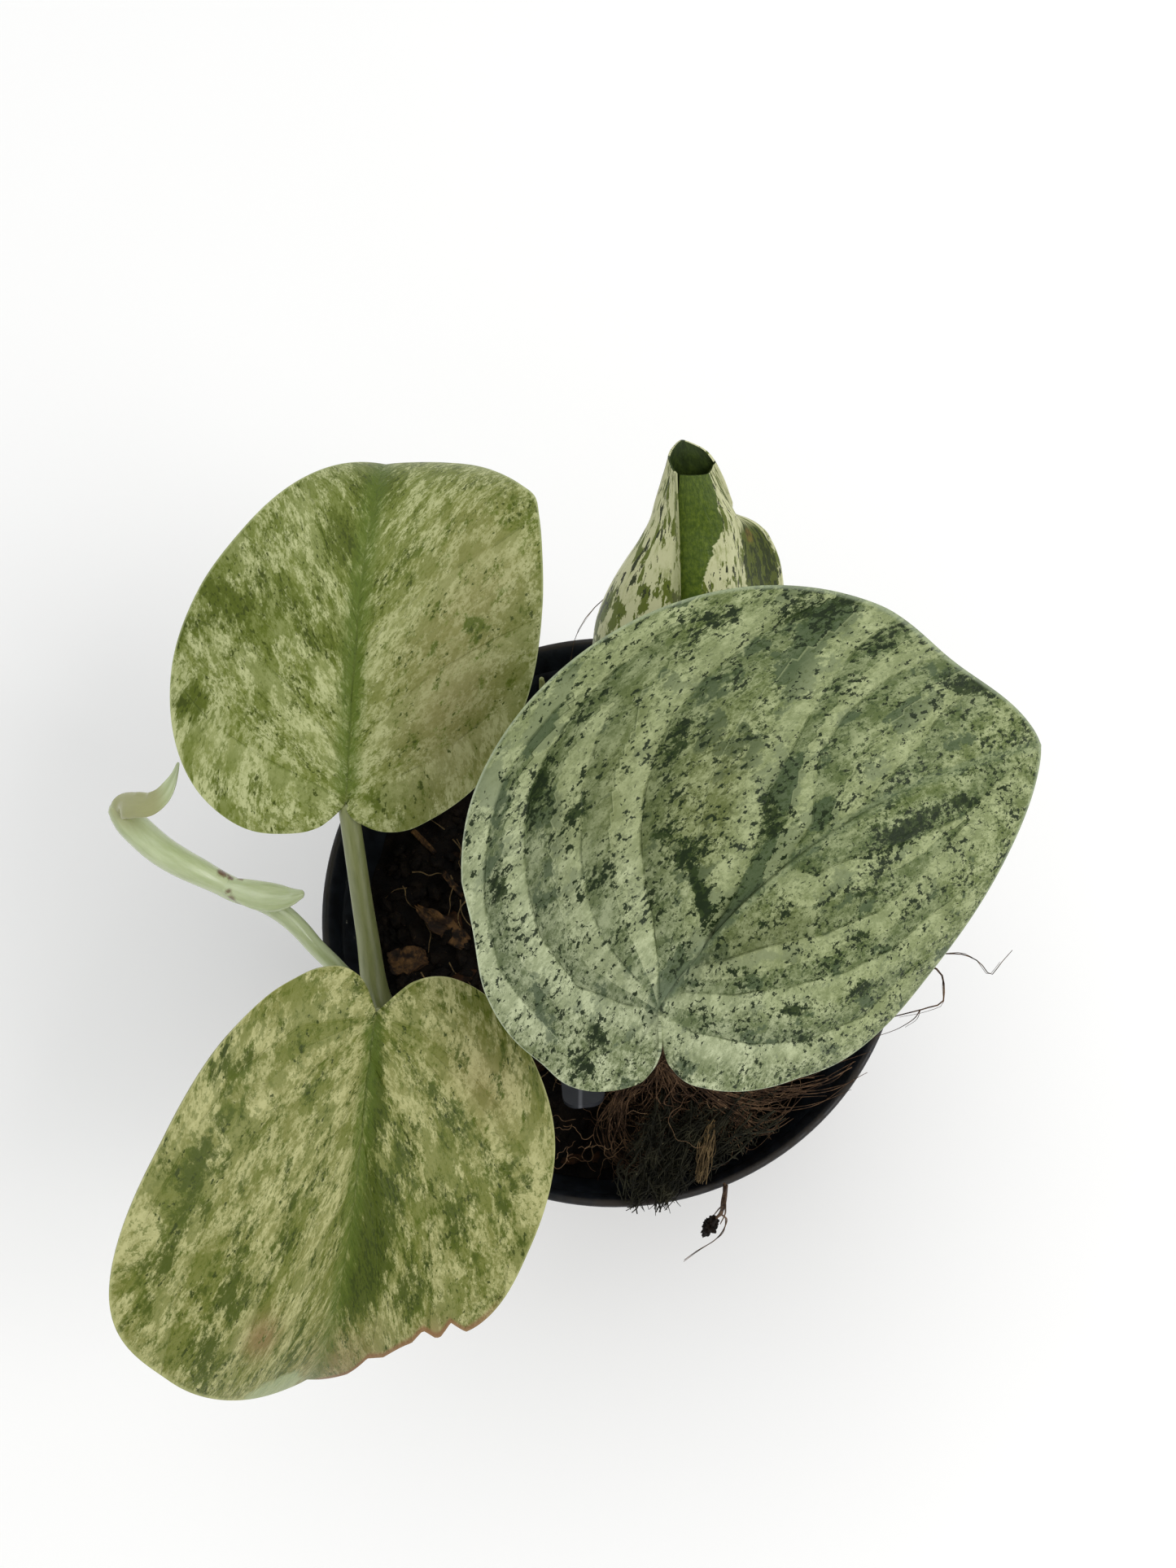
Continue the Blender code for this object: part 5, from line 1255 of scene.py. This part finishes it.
# New shoot
# A thin stem that leans out over the rim, a joint with a short sheath and brown scars, then a swollen, glossy
# pale length whose end has flattened and curled over.
# Each of its three strands is places in millimetres and the radius there, and then how flat it is.
SHOOT_STEM = (
    (-48.3, -20.6, 95.5, 1.6), (-51, -18.2, 100, 1.6), (-55.1, -14.5, 107.2, 1.7), (-58.2, -11.6, 110, 1.7),
    (-60.8, -8.8, 111.8, 1.8), (-63.6, -6.4, 113, 1.9), (-66.3, -4.7, 114.1, 2), (-69.6, -3.3, 115.1, 2.1),
    (-72.8, -2.2, 116.1, 2.3), (-75.7, -0.9, 117.2, 2.3), (-79.2, 0.7, 118.6, 2.6), (-82.9, 2.4, 120, 2.8),
    (-86.6, 4.6, 121.2, 2.9), (-89.9, 7.3, 122.2, 2.9), (-92.3, 9.6, 123.4, 2.8), (-93.5, 11, 124.4, 2.4),
)
SHOOT_SHEATH = (
    (-74.1, -1.8, 118, 1.7), (-70.6, -2.9, 118, 2.5), (-67.3, -3.7, 117.6, 2.9), (-64, -3.9, 117.2, 2.6),
    (-61.5, -3.8, 117.6, 1.7), (-59.9, -3.6, 118.4, 1),
)
SHOOT_RIBBON = (
    (-93.4, 9.8, 124.5, 2.1), (-92.5, 11, 127.2, 2.6), (-89.2, 10.7, 129.8, 2.6), (-85.9, 10.4, 131.5, 2.3),
    (-83.7, 11.5, 132.5, 1.8), (-82, 13.6, 133.5, 1.2), (-81.2, 15.2, 134, 0.7), (-80.6, 17.2, 134.5, 0.3),
)
SHOOT_SCARS = (
    # place, inner and outer radius, how strong
    ((-0.0748, 0.0006, 0.1188), 0.0004, 0.0015, 0.95),
    ((-0.0732, 0.0003, 0.1188), 0.0005, 0.0014, 0.95),
    ((-0.0714, -0.0002, 0.1186), 0.0003, 0.0012, 0.9),
    ((-0.0736, -0.0032, 0.1192), 0.0003, 0.0010, 0.8),
    ((-0.0730, -0.0046, 0.1182), 0.0004, 0.0015, 0.8),
    ((-0.0716, -0.0053, 0.1170), 0.0004, 0.0016, 0.8),
    ((-0.0703, -0.0058, 0.1166), 0.0003, 0.0013, 0.7),
    ((-0.0793, 0.0178, 0.1347), 0.0003, 0.0012, 0.8),
)
FOLD_MIDDLE = (-0.0895, 0.0108, 0.1300)
shoot_parts = (stalk(SHOOT_STEM), stalk(SHOOT_SHEATH, 0.55), stalk(SHOOT_RIBBON, 0.28))
shoot = grown("young_shoot", shoot_parts, samples=64)
shoot_skin, tree, shader, place, height, tint = stalk_skin(
    "shoot_skin", rgb(193, 204, 163), rgb(165, 178, 130), rgb(130, 137, 95), 0.107
)
shader.inputs["Roughness"].default_value = 0.22
shader.inputs["Coat Weight"].default_value = 0.4
tan_gap = gap_to(tree, place, FOLD_MIDDLE)
tan = times(tree, between(tree, tan_gap, 0.0090, 0.0050), between(tree, height, 0.1240, 0.1272))
tint = mixed(tree, tan, tint, rgb(146, 144, 92), 0.8)
ragged = maths(tree, "MULTIPLY_ADD", grain(tree, place, 900.0, 4.0), 0.0016, -0.0008)
for spot, inner, outer, strength in SHOOT_SCARS:
    scar = between(tree, maths(tree, "ADD", gap_to(tree, place, spot), ragged), outer, inner)
    tint = mixed(tree, scar, tint, rgb(96, 62, 34), strength)
tree.links.new(tint, shader.inputs["Base Color"])
finished(shoot, shoot_skin, 60, "stalk_green", "new_shoot")

# Sprout
# A pale pointed sprout that has just broken through the soil at the back of the pot.
SPROUT = ((-14, 44, 66, 1.5), (-14, 44, 76, 1.5), (-14.5, 47, 88, 1.3), (-15, 48, 100, 0.5))
sprout = grown("pale_sprout", [stalk(SPROUT)], sides=20, samples=32)
sprout_skin = stalk_skin("sprout_skin", rgb(170, 174, 118), rgb(140, 148, 84), rgb(140, 130, 80), 0.084)[0]
finished(sprout, sprout_skin, 60, "stalk_green", "sprout")

# Root plug
# The fibrous ball that the right cutting was rooted in: brown coir and roots matted round its crown and
# spilling to the rim, grey-green strands of moss in front, a frayed tan end and one root hanging outside.
PLUG_MIDDLE = (0.0210, -0.0370)
PLUG_TOP = 0.0990
PLUG_FOOT = SOIL_LEVEL + 0.0020
PLUG_BURIED = 0.0700
PLUG_REACH = 0.0500
PLUG_HALF_LENGTH = 0.0270
PLUG_HALF_WIDTH = 0.0190
PLUG_LUMP = 0.0022
CROWN = Vector((0.0090, -0.0322, 0.1015))
PLUG_SEED = 21
CROWN_ROOTS = 170
HEAP_ROOTS = 120
HEAP_HAIRS = 120
HAIR_REACH = 0.0565
LEFT_HAIRS = 16
MOSS_STRANDS = 64
RIM_STRANDS = 44
FRAYED_STRANDS = 46
SOIL_FIBRES = 110
FIBRE_REACH = 0.050
NEAR_ROOTS = (
    # routes in millimetres from the crown down the near side and to the right, and thickness in metres
    ((
        (8.2, -31.8, 101), (2.2, -37.3, 98), (-0.7, -41.6, 94), (-0.9, -46.7, 89), (1.9, -51.3, 86),
        (5.8, -53.5, 88),
    ), 0.0003),
    ((
        (9.1, -32.3, 102), (4.4, -35.9, 100), (0.9, -42.6, 96), (2.5, -48.5, 92), (7.3, -51.7, 93),
        (12, -50.3, 96),
    ), 0.00026),
    ((
        (10.4, -32.3, 102), (19.9, -36, 101), (31.1, -37.9, 99), (40.9, -36.5, 98), (47, -33.5, 97.5),
    ), 0.00034),
    ((
        (10.4, -32.3, 102), (19.8, -38.4, 101), (29.6, -39.9, 98), (37.9, -37.8, 96), (45.5, -34.4, 96),
    ), 0.0003),
    ((
        (11.9, -33.8, 102), (21.4, -41.4, 100), (28.8, -44.1, 96), (33.1, -42.4, 94), (35.7, -38.4, 94),
    ), 0.00028),
)
FAR_ROOTS = (
    # thin dry roots that show past the right leaf and behind it
    ((
        (45.5, -13, 100), (57.3, -10.9, 104), (65.2, -12.3, 105), (68.9, -12.5, 105), (71.8, -13.9, 105),
        (74.3, -16.3, 104), (76, -14.3, 105), (78.3, -11.8, 106),
    ), 0.00016),
    ((
        (47, -17, 99), (55.9, -14.6, 102), (60.6, -14.2, 103), (62.9, -14.7, 104), (64.5, -16.3, 104),
        (65, -18.9, 103), (64.5, -21.6, 103), (62, -22.4, 102), (56.6, -23.7, 101), (50, -25, 98),
    ), 0.00028),
    ((
        (60, -23.2, 102.5), (59, -24.5, 103), (56.6, -26.1, 102), (51, -28, 99),
    ), 0.00013),
    ((
        (12, 20, 96), (4.1, 69, 104), (-2.9, 63.7, 104), (-5.9, 60.4, 103), (-7.6, 57.4, 102),
        (-9, 52.6, 96),
    ), 0.00014),
)
HANGING_ROOT = (
    (21.3, -56, 98.2), (21.1, -59.4, 96.2), (20.6, -61.2, 92.5), (19.6, -62.4, 89.5),
)
THREAD = (
    (20.6, -61.2, 93), (22.2, -62.2, 89.5), (21.6, -64.2, 86.8), (20.1, -66, 84), (16.7, -68, 82),
    (14.2, -69.7, 81),
)
CLOD = ((19.7, -62, 90.5, 1.2), (19, -63.2, 88, 1.9), (18, -65, 85, 0.9))


def plug_edge(angle):
    """The plug's reach from its middle at an angle, kept inside the pot's wall."""
    oval = 1 / math.hypot(math.cos(angle) / PLUG_HALF_LENGTH, math.sin(angle) / PLUG_HALF_WIDTH)
    oval *= 1 + 0.07 * math.sin(3 * angle + 0.5) + 0.05 * math.sin(7 * angle)
    x, y = PLUG_MIDDLE
    toward = x * math.cos(angle) + y * math.sin(angle)
    wall = -toward + math.sqrt(toward**2 + PLUG_REACH**2 - x**2 - y**2)
    return min(oval, wall)


def plug_spot(angle, share, rise=0.0):
    """A point over the heap, at an angle and at a share of the way from its middle to its edge."""
    reach = plug_edge(angle) * share
    height = PLUG_FOOT + (PLUG_TOP - PLUG_FOOT) * (1 - min(1.0, share) ** 1.6)
    x, y = PLUG_MIDDLE
    return Vector((x + reach * math.cos(angle), y + reach * math.sin(angle), height + rise))


heap = primitive(bpy.ops.mesh.primitive_uv_sphere_add, "root_ball", segments=128, ring_count=96, radius=1.0)
for vertex in heap.data.vertices:
    x, y, z = vertex.co
    spot = plug_spot(math.atan2(y, x), min(1.0, math.hypot(x, y)), -0.0016)
    flat_spot = Vector((spot.x, spot.y, 0))
    lump = PLUG_LUMP * (noise.turbulence(flat_spot * 260, 5, False) - 0.8)
    spot.z = spot.z + lump if z >= 0 else PLUG_BURIED
    vertex.co = spot
root_earth = earth("root_earth", rgb(9, 6, 4), rgb(40, 28, 18), rgb(84, 66, 46))
finished(heap, root_earth, 60, "root_fibre", "root_plug")

draw = random.Random(PLUG_SEED)


def within(*sides):
    """A random place in a box, from its lowest and highest x, y and z."""
    return Vector([draw.uniform(*side) for side in sides])


def sway(amount):
    lean = within((-amount, amount), (-amount, amount), (-amount, amount))
    lean.z *= 0.5
    return lean


def wiry(start, end, arch, amount, count=8):
    """A root from start to end that arches and sways from side to side."""
    lean = sway(amount * 2.5)
    path = []
    for step in range(count):
        part = step / (count - 1)
        room = math.sin(math.pi * part)
        spot = start.lerp(end, part) + (lean + sway(amount)) * room
        spot.z += arch * room
        path.append(spot)
    return path


def strand(path, size):
    """A path with a radius that thins toward its end, for grown."""
    return path, [size * (1 - 0.6 * step / (len(path) - 1)) for step in range(len(path))], 1.0


def beside(route, size, copies, spread):
    """A root along a route in millimetres, and finer ones that run beside it and drift apart."""
    route = [Vector([value / 1000 for value in point]) for point in route]
    made = [strand(route, size)]
    for _ in range(copies):
        drift = sway(spread)
        count = len(route) - 1
        path = [point + drift * (step / count) + sway(spread * 0.5) for step, point in enumerate(route)]
        made.append(strand(path[: draw.randint(count, count + 1)], size * draw.uniform(0.35, 0.8)))
    return made


def curled(spot, heading, length, turning, count=9):
    """A root hair that wanders over the heap from a spot."""
    path = [spot.copy()]
    for _ in range(count):
        heading += draw.uniform(-turning, turning)
        ahead = Vector((math.cos(heading), math.sin(heading), draw.uniform(-0.35, 0.35)))
        path.append(path[-1] + ahead * length / count)
    return path


def wisps(name, strands, samples, paint):
    """Thin roots or fibres as one piece of the plug."""
    finished(grown(name, strands, 5, samples, rounded=False), paint, 80, "root_fibre")


brown_roots = []
for route, size in NEAR_ROOTS:
    brown_roots.extend(beside(route, size * 0.75, 12, 0.0030))
for route, size in FAR_ROOTS:
    brown_roots.extend(beside(route, size, 1, 0.0006))
brown_roots.extend(beside(HANGING_ROOT, 0.00055, 3, 0.0010))
brown_roots.extend(beside(THREAD, 0.00016, 1, 0.0005))
for _ in range(CROWN_ROOTS):
    angle = draw.uniform(-0.2, 2 * math.pi * 0.6) + math.pi
    end = plug_spot(angle, draw.uniform(0.55, 1.06), draw.uniform(0.0, 0.0028))
    size = draw.uniform(0.00007, 0.00018)
    start = CROWN + sway(0.0015)
    brown_roots.append(strand(wiry(start, end, draw.uniform(-0.001, 0.005), 0.0019), size))
for _ in range(HEAP_ROOTS):
    angle = draw.uniform(0, 2 * math.pi)
    start = plug_spot(angle, draw.uniform(0.2, 0.95), 0.0004)
    end = plug_spot(angle + draw.uniform(-0.7, 0.7), draw.uniform(0.4, 1.05), 0.0008)
    root = wiry(start, end, draw.uniform(0.0005, 0.0045), 0.0011)
    brown_roots.append(strand(root, draw.uniform(0.00007, 0.00018)))
root_brown = earth("root_brown", rgb(48, 34, 25), rgb(132, 103, 77), rgb(196, 170, 134))
wisps("fine_roots", brown_roots, 26, root_brown)

dry_hairs = []
for _ in range(HEAP_HAIRS):
    angle = draw.uniform(math.pi * 0.95, math.pi * 2.1)
    spot = plug_spot(angle, draw.uniform(0.25, 1.0), draw.uniform(0.0012, 0.0042))
    hair = curled(spot, draw.uniform(0, 2 * math.pi), draw.uniform(0.006, 0.018), 1.0)
    hair = [point for point in hair if math.hypot(point.x, point.y) < HAIR_REACH]
    if len(hair) > 3:
        dry_hairs.append(strand(hair, draw.uniform(0.00005, 0.00012)))
for _ in range(LEFT_HAIRS):
    spot = within((-0.012, 0.004), (-0.052, -0.040), (0.084, 0.093))
    hair = curled(spot, draw.uniform(math.pi * 0.8, math.pi * 1.3), draw.uniform(0.004, 0.008), 1.0)
    dry_hairs.append(strand(hair, draw.uniform(0.00005, 0.00009)))
hair_brown = earth("hair_brown", rgb(100, 74, 54), rgb(178, 146, 112), rgb(228, 206, 172))
wisps("curled_hairs", dry_hairs, 26, hair_brown)

moss_strands = []
for number in range(MOSS_STRANDS):
    start = within((0.008, 0.034), (-0.046, -0.036), (0.0965, 0.1000))
    end = within((-0.003, 0.006), (-0.0575, -0.0480), (0.0940, 0.0985))
    end.x += start.x * 0.45
    if number % 3 == 0:
        end = Vector((draw.choice((0.0038, 0.0090)), -0.0598, 0.0966)) + sway(0.0011)
    route = wiry(start, end, draw.uniform(0.0, 0.0025), 0.0007, 10)
    moss_strands.append(strand(route, draw.uniform(0.00012, 0.00022)))
    for spot in [route[step] for step in range(1, len(route) - 1) for _ in range(3)]:
        tip = spot + (end - start).normalized() * draw.uniform(0.0006, 0.0018) + sway(0.0018)
        leaflet = [spot, spot.lerp(tip, 0.5) + sway(0.0003), tip]
        moss_strands.append(strand(leaflet, draw.uniform(0.00009, 0.00016)))
for _ in range(RIM_STRANDS):
    clump = draw.choice((0.0030, 0.0088))
    start = within((clump - 0.002, clump + 0.006), (-0.0560, -0.0490), (0.0945, 0.0975))
    end = within((clump - 0.0014, clump + 0.0014), (-0.0614, -0.0570), (0.0955, 0.0975))
    route = wiry(start, end, draw.uniform(0.0003, 0.0015), 0.0008, 7)
    moss_strands.append(strand(route, draw.uniform(0.00018, 0.00034)))
moss_green = earth("moss_green", rgb(22, 22, 15), rgb(62, 60, 44), rgb(124, 118, 92))
wisps("moss_strands", moss_strands, 9, moss_green)

frayed = []
for _ in range(FRAYED_STRANDS):
    start = Vector((0.0190, -0.0445, 0.0988)) + sway(0.0010)
    end = Vector((0.0166, -0.0547, 0.0985)) + sway(0.0012)
    route = wiry(start, end, draw.uniform(0.0, 0.0012), 0.0005, 7)
    frayed.append(strand(route, draw.uniform(0.00009, 0.00018)))
tan_fibre = earth("tan_fibre", rgb(92, 76, 52), rgb(150, 126, 88), rgb(176, 156, 118))
wisps("frayed_fibre", frayed, 12, tan_fibre)

soil_fibres = []
for _ in range(SOIL_FIBRES):
    spot = Vector((draw.uniform(-0.050, 0.050), draw.uniform(-0.052, 0.052), 0.0))
    if spot.length > FIBRE_REACH:
        continue
    heading = draw.uniform(0, 2 * math.pi)
    step = draw.uniform(0.0010, 0.0028)
    path = []
    for _ in range(6):
        path.append(Vector((spot.x, spot.y, soil_height(spot.x, spot.y) + draw.uniform(0.0006, 0.0018))))
        heading += draw.uniform(-0.6, 0.6)
        spot += Vector((math.cos(heading), math.sin(heading), 0)) * step
        if spot.length > FIBRE_REACH + 0.001:
            break
    if len(path) > 2:
        soil_fibres.append(strand(path, draw.uniform(0.00010, 0.00024)))
wisps("loose_fibres", soil_fibres, 16, tan_fibre)

clod = grown("hanging_clod", [stalk(CLOD)], sides=40, samples=30)
clod_middle = Vector(CLOD[1][:3]) / 1000
for vertex in clod.data.vertices:
    spot = Vector(vertex.co)
    bulge = 0.0010 * (noise.turbulence(spot * 1100, 5, False) - 0.8)
    vertex.co = spot + (spot - clod_middle).normalized() * bulge
finished(clod, root_earth, 60, "root_fibre")

# Label
# A strip of grey translucent plastic, blank, pushed into the mix beside the right cutting.
LABEL_SIZE = (0.0084, 0.0008, 0.0430)
LABEL_TOP = (-0.0057, -0.0410, 0.0965)
LABEL_LEAN = 50
LABEL_TURN = 6
LABEL_CORNER = 0.0030
LABEL_LINE = 0.0066
turn = Matrix.Rotation(math.radians(LABEL_TURN), 3, "Z") @ Matrix.Rotation(math.radians(LABEL_LEAN), 3, "X")
label = primitive(bpy.ops.mesh.primitive_cube_add, "label_strip", size=1.0)
label.scale = LABEL_SIZE
bpy.ops.object.transform_apply(location=False, rotation=False, scale=True)
mesh_edit()
bpy.ops.mesh.select_all(action="DESELECT")
bpy.ops.object.mode_set(mode="OBJECT")
for line in label.data.edges:
    ends = [label.data.vertices[corner].co for corner in line.vertices]
    line.select = abs(ends[0].y - ends[1].y) > LABEL_SIZE[1] / 2 and ends[0].z > 0
bpy.ops.object.mode_set(mode="EDIT")
bpy.ops.mesh.bevel(offset=LABEL_CORNER, segments=8)
bpy.ops.object.mode_set(mode="OBJECT")
label.location = Vector(LABEL_TOP) - turn @ Vector((0, 0, LABEL_SIZE[2] / 2))
label.rotation_euler = (math.radians(LABEL_LEAN), 0, math.radians(LABEL_TURN))
label_plastic, tree, shader, place = surface("label_plastic", roughness=0.4)
cloudy = grain(tree, place, 200.0, 4.0)
tint = mixed(tree, cloudy, rgb(30, 32, 37), rgb(50, 53, 60))
sideways = maths(tree, "ABSOLUTE", maths(tree, "ADD", apart(tree, place)["X"], LABEL_LINE))
tint = mixed(tree, between(tree, sideways, 0.0006, 0.0001), tint, rgb(150, 152, 160), 0.35)
dressed(tree, shader, tint, cloudy, 0.0001)
finished(label, label_plastic, 40, "label_plastic", "plant_label")
